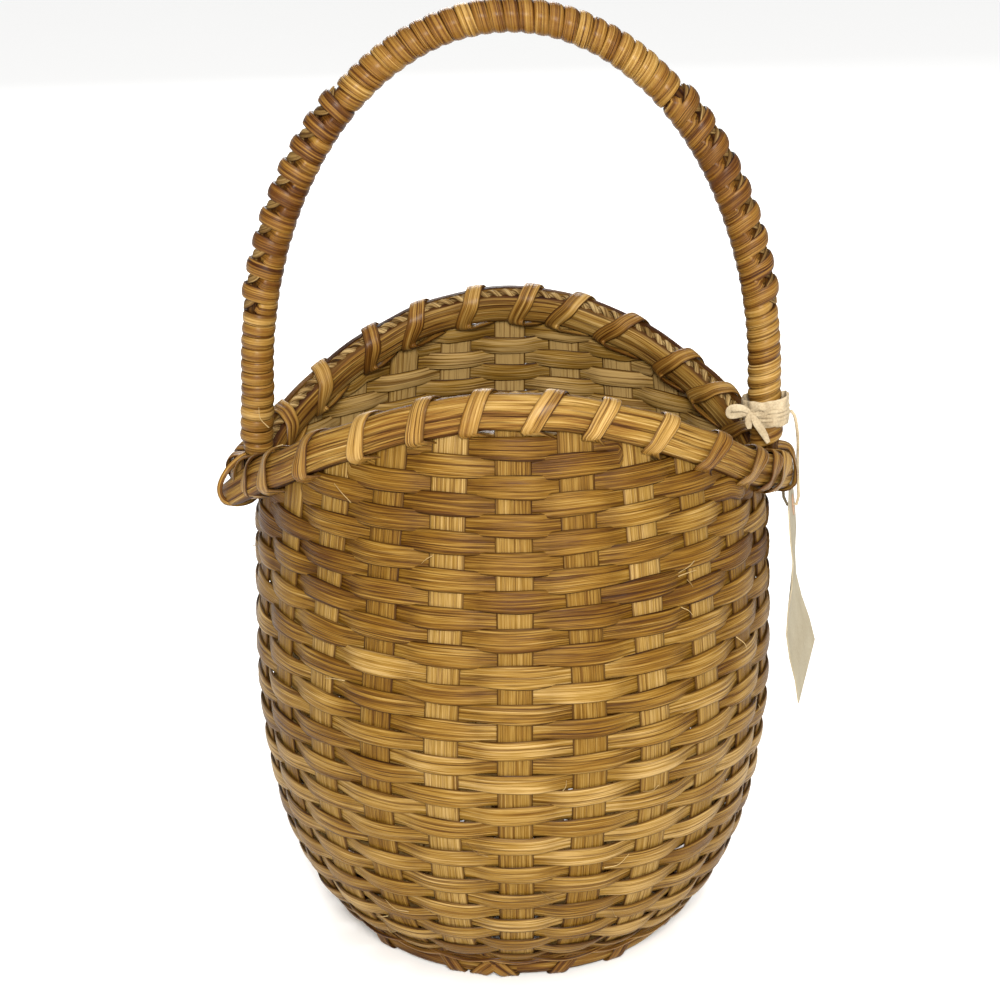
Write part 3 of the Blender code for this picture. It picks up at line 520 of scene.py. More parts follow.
def ridged_sections(widths, thickness, dome, ridges):
    """Sections of a cane or reed whose domed outer face has lengthwise ridges with fine grooves between."""
    across = np.linspace(-RIDGED_REACH, RIDGED_REACH, 2 * ridges + 1)
    groove = np.where(np.arange(len(across)) % 2 == 0, GROOVE_DEPTH, 0.0)
    outer = thickness / 2 + dome * (1 - across**2) - groove
    shares = [-1, *across, 1, BACK_REACH, 0, -BACK_REACH]
    heights = [0, *outer, 0, -BACK_DROP * thickness / 2, -thickness / 2, -BACK_DROP * thickness / 2]
    return sections_of(widths, shares, heights)


def smooth_share(value, low, high):
    share = min(1, max(0, (value - low) / (high - low)))
    return share * share * (3 - 2 * share)


def wander(places, waves, rng, period=STAKE_COUNT):
    """A smooth random curve of some waves in a period, on which it closes on itself. Its swing is about 1."""
    total = np.zeros(len(places))
    for wave in waves:
        phase = rng.uniform(0, 2 * math.pi)
        size = rng.uniform(*WAVE_SIZES)
        total += size * np.sin(2 * math.pi * wave * np.asarray(places) / period + phase)
    return total / (WANDER_SPREAD * math.sqrt(len(waves)))


def smooth_route(points, count, closed=False):
    """Points along a smooth curve through the given ones."""
    spots = np.array(points, float)
    if closed:
        padded = np.vstack([spots[-1], spots, spots[:2]])
        places = np.arange(count) / count * len(spots)
    else:
        padded = np.vstack([2 * spots[0] - spots[1], spots, 2 * spots[-1] - spots[-2]])
        places = np.arange(count) / (count - 1) * (len(spots) - 1)
    route = []
    for along in places:
        index = min(int(along), len(padded) - 4)
        t = along - index
        a, b, c, d = padded[index : index + 4]
        route.append(
            (2 * b + (c - a) * t + (2 * a - 5 * b + 4 * c - d) * t**2 + (3 * b - a - 3 * c + d) * t**3) / 2
        )
    return np.array(route)


def path_frames(points, outwards, closed=False):
    """Across directions and true outward directions for a strip whose flat side faces outwards."""
    if closed:
        ahead = unit(np.roll(points, -1, axis=0) - np.roll(points, 1, axis=0))
    else:
        ahead = unit(np.gradient(points, axis=0))
    across = unit(np.cross(outwards, ahead))
    return across, np.cross(ahead, across)


def strip(route, sections, closed=False, tone=0.5):
    """A skin along pairs of a point and the way that the strip's outer face looks there."""
    points, outwards = columns(route)
    return skin(points, *path_frames(points, outwards, closed), sections, closed, tone)


# Materials
FINE_DETAIL = 3.0
BROAD_DETAIL = 2.0
DETAIL_SHARE = 0.6


def node(tree, kind, settings=(), values=(), **named):
    """A shader node with its settings, and its inputs in order or by name. Sockets are linked, values set."""
    made = tree.nodes.new(kind)
    for key, value in settings:
        setattr(made, key, value)
    for key, value in [*enumerate(values), *named.items()]:
        socket = made.inputs[key if isinstance(key, int) else key.replace("_", " ")]
        if isinstance(value, bpy.types.NodeSocket):
            tree.links.new(value, socket)
        else:
            socket.default_value = value
    return made


def maths(tree, operation, first, second):
    return node(tree, "ShaderNodeMath", [("operation", operation)], [first, second]).outputs[0]


def ramp(tree, factor, stops):
    made = node(tree, "ShaderNodeValToRGB", Fac=factor)
    elements, stops = made.color_ramp.elements, list(stops)
    while len(elements) < len(stops):
        elements.new(0.5)
    for element, (position, colour) in zip(elements, stops):
        element.position = position
        element.color = (*colour, 1)
    return made.outputs["Color"]


def strip_noise(tree, place, cells, detail=FINE_DETAIL):
    """Noise with its cells for each metre along a strip and across it, and for each strip."""
    stretched = node(tree, "ShaderNodeVectorMath", [("operation", "MULTIPLY")], [place, cells]).outputs[0]
    values = {"Vector": stretched, "Scale": 1.0, "Detail": detail, "Roughness": DETAIL_SHARE}
    return node(tree, "ShaderNodeTexNoise", **values).outputs["Fac"]


def centred(tree, value, strength):
    """A texture's swing about its middle, times a strength."""
    return maths(tree, "MULTIPLY", maths(tree, "SUBTRACT", value, 0.5), strength)


def smooth_between(tree, value, low, high):
    eased = [("interpolation_type", "SMOOTHSTEP")]
    return node(tree, "ShaderNodeMapRange", eased, Value=value, From_Min=low, From_Max=high).outputs["Result"]


def tinted(tree, factor, tint, colour):
    """The colour itself where the factor is 1, and multiplied by the tint where it is 0."""
    multiplied = [("data_type", "RGBA"), ("blend_type", "MULTIPLY")]
    share = maths(tree, "SUBTRACT", 1.0, factor)
    return node(tree, "ShaderNodeMix", multiplied, Factor=share, A=colour, B=(*tint, 1)).outputs["Result"]


LOOKS = {}


def new_look(slot):
    """Keeps a new material for a slot, and returns its node tree and its shader."""
    look = bpy.data.materials.new(f"{slot}_look")
    look.use_nodes = True
    LOOKS[slot] = look
    return look.node_tree, look.node_tree.nodes["Principled BSDF"]


def set_relief(tree, shader, height, strength, distance):
    raised = node(tree, "ShaderNodeBump", Height=height, Strength=strength, Distance=distance)
    tree.links.new(raised.outputs["Normal"], shader.inputs["Normal"])


# Grain: noise cells for each metre, how much coarser than the streaks they are, and how strongly they show
STREAK_CELLS = 38
BAND_CELLS = 12
BAND_COARSENESS = 2.8
GROOVE_CELLS = 16
GROOVE_COARSENESS = 1.9
BLOTCH_CELLS = (28, 60, 1)
STRIPS_APART = 97.0
STREAK_STRENGTH = 1.5
BAND_STRENGTH = 0.8
BLOTCH_STRENGTH = 0.45
TONE_STRENGTH = 0.8
GROOVE_SPAN = (0.38, 0.45)
GROOVE_HUE = (1, 0.85, 0.7)
GROOVE_RELIEF = 0.6
# Painted shade: strips darken towards their edges, where they meet, and where their shade values are low
EDGE_SHADE_SPAN = (1.02, 0.82)
EDGE_SHADE_TINT = (0.22, 0.14, 0.07)
SHADE_TINT = (0.20, 0.13, 0.07)
ROUGHNESS_SWING = 0.5
GRAIN_RELIEF = 0.0005
SHEEN = 0.09
COAT_ROUGHNESS = 0.3
TONE_PLACES = (0.10, 0.38, 0.62, 0.92)
ROPE_TONE_PLACES = (0.15, 0.45, 0.85)
WEAVER_TONES = [(0.058, 0.021, 0.002), (0.134, 0.063, 0.006), (0.214, 0.121, 0.023), (0.350, 0.229, 0.084)]
STAKE_TONES = [(0.056, 0.021, 0.002), (0.128, 0.061, 0.006), (0.197, 0.112, 0.022), (0.317, 0.206, 0.074)]
HOOP_TONES = [(0.055, 0.018, 0.003), (0.141, 0.062, 0.010), (0.218, 0.122, 0.023), (0.372, 0.240, 0.083)]
CANE_TONES = [(0.063, 0.021, 0.003), (0.145, 0.064, 0.010), (0.223, 0.121, 0.024), (0.362, 0.225, 0.073)]
ROPE_TONES = [(0.060, 0.029, 0.007), (0.170, 0.100, 0.030), (0.365, 0.255, 0.111)]


def fibre_look(
    slot, tones, streaks, roughness, contrast=1.0, groove=0.5, bump=0.6, coat=0.0, places=TONE_PLACES
):
    """Wood or cane fibres along a strip: fine streaks, broad bands, grooves, blotches, and painted shade at
    the edges and where the shade values are low.
    """
    tree, shader = new_look(slot)
    coords = node(tree, "ShaderNodeUVMap", [("uv_map", "strip")]).outputs["UV"]
    along, across = node(tree, "ShaderNodeSeparateXYZ", Vector=coords).outputs[:2]
    named = [[("attribute_name", label)] for label in POINT_LABELS]
    edge, tone, shade, grain = (node(tree, "ShaderNodeAttribute", name).outputs["Fac"] for name in named)
    apart = maths(tree, "MULTIPLY", grain, STRIPS_APART)
    place = node(tree, "ShaderNodeCombineXYZ", X=along, Y=across, Z=apart).outputs[0]
    fine = strip_noise(tree, place, (STREAK_CELLS, streaks, 1))
    bands = strip_noise(tree, place, (BAND_CELLS, streaks / BAND_COARSENESS, 1))
    blotches = strip_noise(tree, place, BLOTCH_CELLS, BROAD_DETAIL)
    grooves = strip_noise(tree, place, (GROOVE_CELLS, streaks / GROOVE_COARSENESS, 1), BROAD_DETAIL)
    grooves = smooth_between(tree, grooves, *GROOVE_SPAN)
    mixed = centred(tree, fine, STREAK_STRENGTH * contrast)
    for value, strength in (
        (bands, BAND_STRENGTH * contrast),
        (blotches, BLOTCH_STRENGTH),
        (tone, TONE_STRENGTH),
    ):
        mixed = maths(tree, "ADD", mixed, centred(tree, value, strength))
    colour = ramp(tree, maths(tree, "ADD", mixed, 0.5), zip(places, tones))
    colour = tinted(tree, grooves, [groove * share for share in GROOVE_HUE], colour)
    # Painted shade along the strip's edges
    colour = tinted(tree, smooth_between(tree, edge, *EDGE_SHADE_SPAN), EDGE_SHADE_TINT, colour)
    # Painted shade where the shade values are low: the weavers' dives and the handle's core; the hoop's cut
    # end is darkened the same way
    tree.links.new(tinted(tree, shade, SHADE_TINT, colour), shader.inputs["Base Color"])
    rough = maths(tree, "ADD", centred(tree, fine, ROUGHNESS_SWING), roughness)
    tree.links.new(rough, shader.inputs["Roughness"])
    relief = maths(tree, "MULTIPLY", grooves, GROOVE_RELIEF)
    relief = maths(tree, "ADD", maths(tree, "ADD", fine, bands), relief)
    set_relief(tree, shader, relief, bump, GRAIN_RELIEF)
    shader.inputs["Specular IOR Level"].default_value = SHEEN
    shader.inputs["Coat Weight"].default_value = coat
    shader.inputs["Coat Roughness"].default_value = COAT_ROUGHNESS


fibre_look("weaver_splint", WEAVER_TONES, streaks=2100, roughness=0.45)
fibre_look("stake_splint", STAKE_TONES, streaks=2300, roughness=0.5, contrast=0.8, groove=0.6)
fibre_look("hoop_wood", HOOP_TONES, streaks=1900, roughness=0.5, contrast=1.1, groove=0.45, bump=0.9)
fibre_look("binding_cane", CANE_TONES, streaks=2000, roughness=0.38, coat=0.08)
fibre_look(
    "seagrass_rope", ROPE_TONES, streaks=2400, roughness=0.65, groove=0.6, bump=0.8, places=ROPE_TONE_PLACES
)
MOTTLE_PLACES = (0.3, 0.6)
MOTTLE_COARSENESS = 12
MOTTLE_DETAIL = (5.0, 0.65)
CLOUD_DETAIL = (2.0, 0.5)
PLAIN_RELIEF = 0.0002


def plain_look(slot, colour, dark, roughness, scale, bump):
    """Paper or cotton: a soft mottle over one colour."""
    tree, shader = new_look(slot)
    place = node(tree, "ShaderNodeTexCoord").outputs["Object"]
    mottle, broad = (
        node(tree, "ShaderNodeTexNoise", Vector=place, Scale=cells, Detail=detail, Roughness=fade).outputs[0]
        for cells, detail, fade in ((scale, *MOTTLE_DETAIL), (scale / MOTTLE_COARSENESS, *CLOUD_DETAIL))
    )
    both = maths(tree, "ADD", maths(tree, "MULTIPLY", mottle, 0.5), maths(tree, "MULTIPLY", broad, 0.5))
    tree.links.new(ramp(tree, both, zip(MOTTLE_PLACES, (dark, colour))), shader.inputs["Base Color"])
    set_relief(tree, shader, mottle, bump, PLAIN_RELIEF)
    shader.inputs["Roughness"].default_value = roughness


plain_look("tag_paper", (0.36, 0.31, 0.21), (0.27, 0.225, 0.14), roughness=0.8, scale=900, bump=0.25)
plain_look("patch_paper", (0.52, 0.31, 0.19), (0.40, 0.23, 0.13), roughness=0.8, scale=1200, bump=0.25)
plain_look("cotton_string", (0.42, 0.34, 0.22), (0.20, 0.14, 0.07), roughness=0.9, scale=1100, bump=0.9)
plain_look("floor", (0.96, 0.96, 0.955), (0.955, 0.955, 0.95), roughness=0.9, scale=3, bump=0.0)


# Weaving
def weave_wave(places, row):
    """1 where a row lies fully outside a stake and -1 where it lies fully inside one."""
    swing = np.cos(math.pi * (np.asarray(places) + row))
    return np.tanh(WAVE_SHARPNESS * swing) / math.tanh(WAVE_SHARPNESS)


def woven_skin(places, levels, sides, rows, seed, look_width, pinch, closed=False):
    """A splint along places and levels of the wall, on the side of it that sides says, from -1 to 1."""
    rng = np.random.default_rng(seed)
    rows, sides = np.broadcast_to(rows, len(places)), np.asarray(sides)
    tilts = TILT_WANDER * wander(places, (5, 9, 14, 22), rng)
    lifts = ROW_WANDER * wander(places, (3, 7, 12, 19), rng)
    swell = 1 + WIDTH_WANDER_SHARE * wander(places, (4, 9, 15), rng)
    stations = []
    for place, level, side, tilt, lift in zip(places, levels, sides, tilts, lifts):
        middle, _, up, out = wall_frame(place, level)
        across = up * math.cos(tilt) + out * math.sin(tilt)
        facing = out * math.cos(tilt) - up * math.sin(tilt)
        stations.append((middle + out * PASS_OFFSET * side + up * lift, across, facing))
    dive = 1 - np.abs(sides) ** DIVE_POWER
    widths = look_width * swell * (1 - pinch * dive)
    sections = ridged_sections(widths, WEAVER_THICKNESS, WEAVER_DOME, WEAVER_RIDGES)
    tone = pass_tones(places, rows, sides, rng)
    tone += FINE_TONE_SWING * wander(places, (5, 8, 13), rng)
    # The shade values paint shade where the weaver dives behind a stake
    return skin(*columns(stations), sections, closed, tone, 1 - DIVE_PAINTED_SHADE * dive**2, INSIDE_PAINTED_LIGHT)


def pass_tones(places, rows, sides, rng):
    """A tone of its own for each pass over or under a stake. The rows near the rim are browner."""
    own = rng.uniform(-PASS_TONE_SWING, PASS_TONE_SWING, (2, BACK_STAKE))
    own += rng.uniform(-ROW_TONE_SWING, ROW_TONE_SWING)
    tones = []
    for place, row, side in zip(places, rows, sides):
        outside, inside = (round((place + row + shift) / 2) % BACK_STAKE for shift in (0, 1))
        share = (1 + side) / 2
        aged = MIDDLE_TONE - BROWNED_ROWS * smooth_share(row, BROWNED_FROM, BROWNED_TO)
        tones.append(aged + own[0, outside] * share + own[1, inside] * (1 - share))
    return np.array(tones)


def weaver_rings():
    for row in range(RING_COUNT):
        start = (row * SEAM_STEP + 1) % STAKE_COUNT
        places = start + np.arange(WEAVER_STEPS) * STAKE_COUNT / WEAVER_STEPS
        levels = np.full(WEAVER_STEPS, row_level(row))
        wide = WEAVER_LOOK_WIDTH if row < HIDDEN_ROWS else PACKING_LOOK_WIDTH
        waves = weave_wave(places, row)
        ring = woven_skin(places, levels, waves, row, RING_SEED + row, wide, WEAVER_PINCH_SHARE, True)
        name = f"weaver_{row + 1:02d}"
        piece(f"{name}_splint", [ring], "weaver_splint", [name])


def plan_sine(place):
    return min(1, abs(wall_point(place, 2)[0]) / MOUTH_HALF_WIDTH)


def rim_height(place):
    cosine = math.sqrt(max(0, 1 - plan_sine(place) ** 2))
    return RIM_SIDE_HEIGHT + (RIM_FRONT_HEIGHT - RIM_SIDE_HEIGHT) * cosine**RIM_SADDLE_POWER


def short_row_end(row):
    """The furthest stake that a short row reaches below the rim, counted from the middle of its arch."""
    top = wall_height(row_level(row)) + WEAVER_WIDTH / 2
    reach = 0
    for stake in range(1, SIDE_STAKE):
        if top - ROW_PITCH / 2 < rim_height(stake) - RIM_WIDTH / 2:
            reach = stake
    return reach


def last_short_row():
    row = RING_COUNT
    while short_row_end(row + 1) > 0:
        row += 1
    return row


def packing_trail(middle):
    """Place, row and side of the wall along a weaver that goes to and fro under the rim's arch."""
    trail = []
    direction = 1
    edge = PACKING_END_SHARE
    final = last_short_row()
    for row in range(RING_COUNT, final + 1):
        first = middle - direction * short_row_end(row)
        last = middle + direction * short_row_end(min(row + 1, final))
        count = max(4, int(abs(last - first) * STEPS_PER_STAKE))
        run = np.linspace(first - direction * edge, last + direction * edge, count)
        inner, outer = sorted((first - direction * edge, last + direction * edge))
        for place, side in zip(run, weave_wave(run, row)):
            tucked = min(place - inner, outer - place) > edge - 0.5
            trail.append((place, row, side if tucked else 0.0))
        if row < final:
            for share in TURN_STEPS:
                reach = edge + TURN_SHARE * math.sin(math.pi * share)
                trail.append((last + direction * reach, row + share, 0.0))
        direction = -direction
    return columns(trail)


def packing_weavers():
    for name, middle, seed in (("packing_front", 0, 31), ("packing_back", BACK_STAKE, 32)):
        places, rows, sides = packing_trail(middle)
        levels = []
        for place, row, side in zip(places, rows, sides):
            highest = rim_height(place) + HOOP_BOTTOM - WEAVER_LOOK_WIDTH / 2 + (1 - abs(side)) * ROW_TUCK
            levels.append(level_at(min(highest, wall_height(row_level(row)))))
        splint = woven_skin(places, levels, sides, rows, seed, PACKING_LOOK_WIDTH, PACKING_PINCH_SHARE)
        piece(f"{name}_splint", [splint], "weaver_splint", [name])


# Stakes
STAKE_RISE_STEPS = 26
STAKE_TOP_SHARE = 0.35
STAKE_WANDER_RISE = 3
STAKE_WIDTH_WANDER_SHARE = 0.04
SPOKE_TONE_SWING = 0.08


def stake_stations(stake, rng):
    top = level_at(rim_height(stake) + STAKE_TOP_SHARE * RIM_WIDTH / 2)
    levels = np.concatenate([np.linspace(0, 1, STAKE_RISE_STEPS), np.linspace(1, top, STAKE_RISE_STEPS)[1:]])
    lean = STAKE_WANDER * wander(levels, (1, 3, 5), rng, 4)
    stations = []
    for level, aside in zip(levels, lean):
        middle, along, _, out = wall_frame(stake, level)
        stations.append((middle + along * aside * min(1, level * STAKE_WANDER_RISE), along, out))
    return stations


def base_stations(place, crossings, own_index, lengthwise):
    """Stations of a splint across the base, over and under those that cross it."""
    reach = (crossings - 1) // 2
    across = np.array((1.0, 0, 0) if lengthwise else (0, 1.0, 0))
    stations = []
    for crossing in range(-reach, reach + 1):
        over = ((crossing + own_index) % 2 == 0) == lengthwise
        height = BASE_HEIGHT + CROSS_OFFSET * (1 if over else -1)
        for side in (-1, -0.5, 0.5, 1):
            along = crossing * BASE_SPACING + side * STAKE_EDGE
            spot = (place, along, height) if lengthwise else (along, place, height)
            stations.append((np.array(spot), across, np.array([0, 0, -1.0])))
    return stations


def spoke(name, first_stake, last_stake, base, seed):
    rng = np.random.default_rng(seed)
    stations = stake_stations(first_stake, rng)[::-1] + base + stake_stations(last_stake, rng)
    middles, _, outs = columns(stations)
    ahead = unit(np.gradient(middles, axis=0))
    outs = unit(outs - ahead * (outs * ahead).sum(1, keepdims=True))
    steps, count = np.arange(len(middles)), len(middles)
    widths = STAKE_LOOK_WIDTH * (1 + STAKE_WIDTH_WANDER_SHARE * wander(steps, (3, 7, 11), rng, count))
    sections = crowned_sections(widths, STAKE_THICKNESS, STAKE_DOME)
    tone = rng.uniform(*SPOKE_TONES) + SPOKE_TONE_SWING * wander(steps, (4, 9), rng, count)
    # Painted light on the stake's inner face
    splint = skin(middles, np.cross(ahead, outs), outs, sections, tone=tone, inside_painted_light=INSIDE_PAINTED_LIGHT)
    piece(f"{name}_splint", [splint], "stake_splint", [name])


def spokes():
    reach = FRONT_SPOKES // 2
    for index in range(-reach, reach + 1):
        base = base_stations(index * BASE_SPACING, SIDE_SPOKES, index, True)
        name = f"spoke_front_{index + reach + 1}"
        spoke(name, index, BACK_STAKE - index, base, FRONT_SPOKE_SEED + index)
    reach = SIDE_SPOKES // 2
    for index in range(-reach, reach + 1):
        base = base_stations(index * BASE_SPACING, FRONT_SPOKES, index, False)
        name = f"spoke_side_{index + reach + 1}"
        spoke(name, -SIDE_STAKE - index, SIDE_STAKE + index, base, SIDE_SPOKE_SEED + index)


# Rim
def rim_frame(place):
    """Middle of the rim with the directions along it, across it upwards, and outwards."""
    middle, _, _, out = wall_frame(place, level_at(rim_height(place)))
    after = wall_point(place + RIM_SLOPE_STEP, level_at(rim_height(place + RIM_SLOPE_STEP)))
    before = wall_point(place - RIM_SLOPE_STEP, level_at(rim_height(place - RIM_SLOPE_STEP)))
    ahead = unit(after - before)
    across = unit(np.cross(out, ahead))
    return middle, ahead, across, np.cross(ahead, across)


def outer_room(place):
    """How much further out the outer hoop lies, for its bend and for the handle's tails inside it."""
    return RIM_BEND_ROOM + tip_room(place)


def tip_room(place):
    return RIM_TIP_ROOM * plan_sine(place) ** RIM_TIP_POWER


RIM_STEPS = 288
LASH_STEPS = 48
FILLER_STEPS = 420
HOOP_TONE_SWING = 0.16
ROPE_TONE = 0.55
ROPE_TONE_SWING = 0.3
PLY_WANDER_SHARE = 0.12
CUT_END_FROM = 0.98
CUT_END_SHADE = 0.3


def rim_hoop(name, side, seed):
    """Half-round hoop. The outer one, at side 1, ends loose past the handle's left leg and its other end."""
    rng = np.random.default_rng(seed)
    seat = HALF_STAKE + CLEARANCE + RIM_THICKNESS / 2
    top, dome, first, last = OUTER_HOOP_TOP, HOOP_DOME, LOOSE_END, STAKE_COUNT + LOOSE_END + HOOP_OVERLAP
    if side < 0:
        top, dome, first, last = INNER_HOOP_TOP, HOOP_DOME / 2, -SIDE_STAKE, STAKE_COUNT - SIDE_STAKE
    places = np.linspace(first, last, RIM_STEPS)
    loose = np.maximum(0, LOOSE_FROM - places) / (LOOSE_FROM - LOOSE_END) * (side > 0)
    lumps = HOOP_WANDER * wander(places, (5, 11, 17), rng)
    stations = []
    for place, share, lump in zip(places, loose, lumps):
        middle, _, across, out = rim_frame(place)
        outward = side * (seat + (outer_room(place) if side > 0 else 0))
        outward += LOOSE_END_OUT * share**LOOSE_OUT_POWER
        upward = (top + HOOP_BOTTOM) / 2 + lump - LOOSE_END_DROP * share**LOOSE_DROP_POWER
        stations.append((middle + out * outward + across * upward, across, out))
    widths = top - HOOP_BOTTOM
    widths *= 1 + HOOP_WIDTH_WANDER_SHARE * wander(places, (7, 13, 21), rng)
    widths *= 1 - LOOSE_END_NARROWING * loose**2
    tone = 0.5 + HOOP_TONE_SWING * wander(places, (2, 5, 9), rng)
    sections = crowned_sections(widths, RIM_THICKNESS, dome, HOOP_SHARES, side)
    shade = np.where(loose > CUT_END_FROM, CUT_END_SHADE, 1.0)
    hoop = skin(*columns(stations), sections, tone=tone, shade=shade)
    piece(f"{name}_wood", [hoop], "hoop_wood", [name])


def rim_filler(name, first, last, seed):
    """Rope of two twisted plies that lies on the wall between the hoops."""
    stations = []
    for place in np.linspace(first, last, FILLER_STEPS):
        middle, _, across, out = rim_frame(place)
        stations.append((middle + out * tip_room(place) / 2 + across * ROPE_RISE, across, out))
    middles, acrosses, outs = columns(stations)
    rng = np.random.default_rng(seed)
    run = run_along(middles)
    plies = []
    for ply in range(ROPE_PLIES):
        turn = 2 * math.pi * (run / ROPE_TWIST + ply / ROPE_PLIES)
        offset = acrosses * np.cos(turn)[:, None] + outs * np.sin(turn)[:, None]
        points = middles + offset * ROPE_PLY_RADIUS * PLY_REACH
        sizes = ROPE_PLY_RADIUS * (1 + PLY_WANDER_SHARE * wander(run, (9, 17, 31), rng, run[-1]))
        tone = ROPE_TONE + ROPE_TONE_SWING * wander(run, (7, 15, 29), rng, run[-1])
        plies.append(strip(zip(points, offset), round_sections(sizes), tone=tone))
    piece(f"{name}_rope", plies, "seagrass_rope", [name])


def rim_lashing():
    """A slanting band of cane round both hoops and the rope in each gap between two stakes."""
    rng = np.random.default_rng(41)
    outer = HALF_STAKE + CLEARANCE + RIM_THICKNESS + HOOP_DOME + LASH_LIFT
    inner = HOOP_DOME / 2 - outer
    gaps = [SIDE_STAKE + 0.5 + turn for turn in range(STAKE_COUNT)]
    gaps = [gap + rng.uniform(-LASH_PLACE_WANDER, LASH_PLACE_WANDER) for gap in gaps] + CORNER_LASHES
    bands = []
    for gap in gaps:
        slant = rng.uniform(*LASH_SLANTS)
        route = []
        for reach, upward, shift in (
            (outer * 0.50, LASH_BOTTOM, -0.20),
            (outer * 0.93, HOOP_BOTTOM * 0.80, -0.17),
            (outer, HOOP_BOTTOM * 0.15, -0.07),
            (outer * 0.95, OUTER_HOOP_TOP * 0.65, 0.04),
            (outer * 0.55, OUTER_HOOP_TOP + LASH_LIFT, 0.11),
            (0, LASH_TOP, 0.16),
            (inner * 0.55, INNER_HOOP_TOP + 2 * LASH_LIFT, 0.22),
            (inner * 0.96, INNER_HOOP_TOP * 0.60, 0.29),
            (inner, HOOP_BOTTOM * 0.25, 0.42),
            (inner * 0.92, HOOP_BOTTOM * 0.80, 0.50),
            (inner * 0.75, LASH_BOTTOM, 0.38),
            (inner * 0.35, LASH_BOTTOM, 0.06),
        ):
            place = gap + shift * slant
            middle, _, across, out = rim_frame(place)
            room = outer_room(place) if reach > 0 else 0
            outward = unit(out * reach / outer + across * (upward - HOOP_BOTTOM / 4) / LASH_TOP)
            route.append((middle + out * (reach + room) + across * upward, outward))
        turn = 2 * np.pi * np.arange(LASH_STEPS) / LASH_STEPS
        tone = rng.uniform(*LASH_TONES) + LASH_TONE_SWING * np.sin(turn)
        bands.append(band_skin(*columns(route), LASH_STEPS, LASH_LOOK_WIDTH, CANE_RIDGES, tone))
    facing = unit(np.tile(TIP_LOOP_FACING, (len(TIP_LOOP), 1)))
    bands.append(band_skin(TIP_LOOP, facing, LASH_STEPS, TIP_LOOP_WIDTH, TIP_LOOP_RIDGES, TIP_LOOP_TONE))
    piece("rim_lashing_cane", bands, "binding_cane", ["rim_lashing"])


def band_skin(points, outwards, steps, width, ridges, tone):
    """A closed band of cane along a smooth curve through the points, its good side facing outwards."""
    points, outwards = smooth_route(points, steps, True), unit(smooth_route(outwards, steps, True))
    sections = ridged_sections(width, LASHING_THICKNESS, BAND_DOME, ridges)
    return strip(zip(points, outwards), sections, True, tone)


# Handle
def wall_half_width(height):
    return half_size(level_at(height), BELLY_HALF_WIDTH, MOUTH_HALF_WIDTH)


def handle_line():
    turn = np.linspace(0, math.pi, PLAN_STEPS)
    leg_end_x = wall_half_width(LEG_END_HEIGHT) + LEG_STAND_OFF
    x = (leg_end_x - LEG_LEAN) * np.cos(turn)
    z = ARCH_SPRING_HEIGHT + ARCH_RISE * np.sin(turn)
    x = np.concatenate([[leg_end_x], x, [-leg_end_x]])
    z = np.concatenate([[LEG_END_HEIGHT], z, [LEG_END_HEIGHT]])
    return x, z, run_along(np.stack([x, z], 1))


HANDLE_X, HANDLE_Z, HANDLE_RUN = handle_line()
WRAP_STEPS = 28
DIP_SPAN = (-0.05, 0.6)
DEPTH = np.array([0, 1.0, 0])


def arch_point(share):
    run = share * HANDLE_RUN[-1]
    return np.array([np.interp(run, HANDLE_RUN, HANDLE_X), 0, np.interp(run, HANDLE_RUN, HANDLE_Z)])


def handle_frame(share):
    ahead = unit(arch_point(min(1, share + ARCH_SLOPE_STEP)) - arch_point(max(0, share - ARCH_SLOPE_STEP)))
    return arch_point(share), ahead, np.array([ahead[2], 0, -ahead[0]])


def wrap_skin(first, last, style, seed):
    """Cane wound round the handle, close on its crown and legs. On a flank every other turn dips."""
    rng = np.random.default_rng(seed)
    length = (last - first) * HANDLE_RUN[-1]
    turns = 2 * round(length / (CROWN_PITCH if style == "crown" else WRAP_PITCH) / 2)
    half_thick = HANDLE_THICKNESS / 2 + WRAP_THICKNESS / 2 + CLEARANCE / 2
    half_wide = HANDLE_WIDTH / 2 + WRAP_THICKNESS / 2
    loose = rng.uniform(-1, 1, turns + 2)
    slant = {"flank": FLANK_SLANT, "leg": LEG_SLANT, "crown": 0}[style] / HANDLE_RUN[-1]
    slant *= 1 if first + last < 1 else -1
    route, widths, tones = [], [], []
    for step in range(turns * WRAP_STEPS + 1):
        t = step / WRAP_STEPS
        out_share, deep_share = math.cos(2 * math.pi * t), math.sin(2 * math.pi * t)
        index = int(t + 0.5)
        rise, width = 0.0, WRAP_WIDTH_SHARE
        if style == "flank":
            over = index % 2
            rise = (OVER_RISE if over else -UNDER_SINK) * smooth_share(out_share, *DIP_SPAN)
            width = FLANK_WIDTHS[over]
        share = first + (last - first) * t / turns + slant * out_share
        size = 1 + WRAP_WANDER_SHARE * loose[index]
        size -= END_TUCK * (1 - smooth_share(min(t, turns - t), 0, TUCK_TURNS))
        middle, _, away = handle_frame(min(1, max(0, share)))
        reach = away * (half_thick * size * out_share + rise) + DEPTH * half_wide * size * deep_share
        route.append((middle + reach, unit(away * out_share / half_thick + DEPTH * deep_share / half_wide)))
        widths.append(length / turns * width)
        # Painted shade in the flanks' tone
        tones.append((FLANK_PAINTED_SHADE_TONE if style == "flank" else WRAP_TONE) + WRAP_TONE_SWING * loose[index])
    sections = ridged_sections(widths, WRAP_THICKNESS, WRAP_DOME, CANE_RIDGES)
    return strip(route, sections, tone=tones)


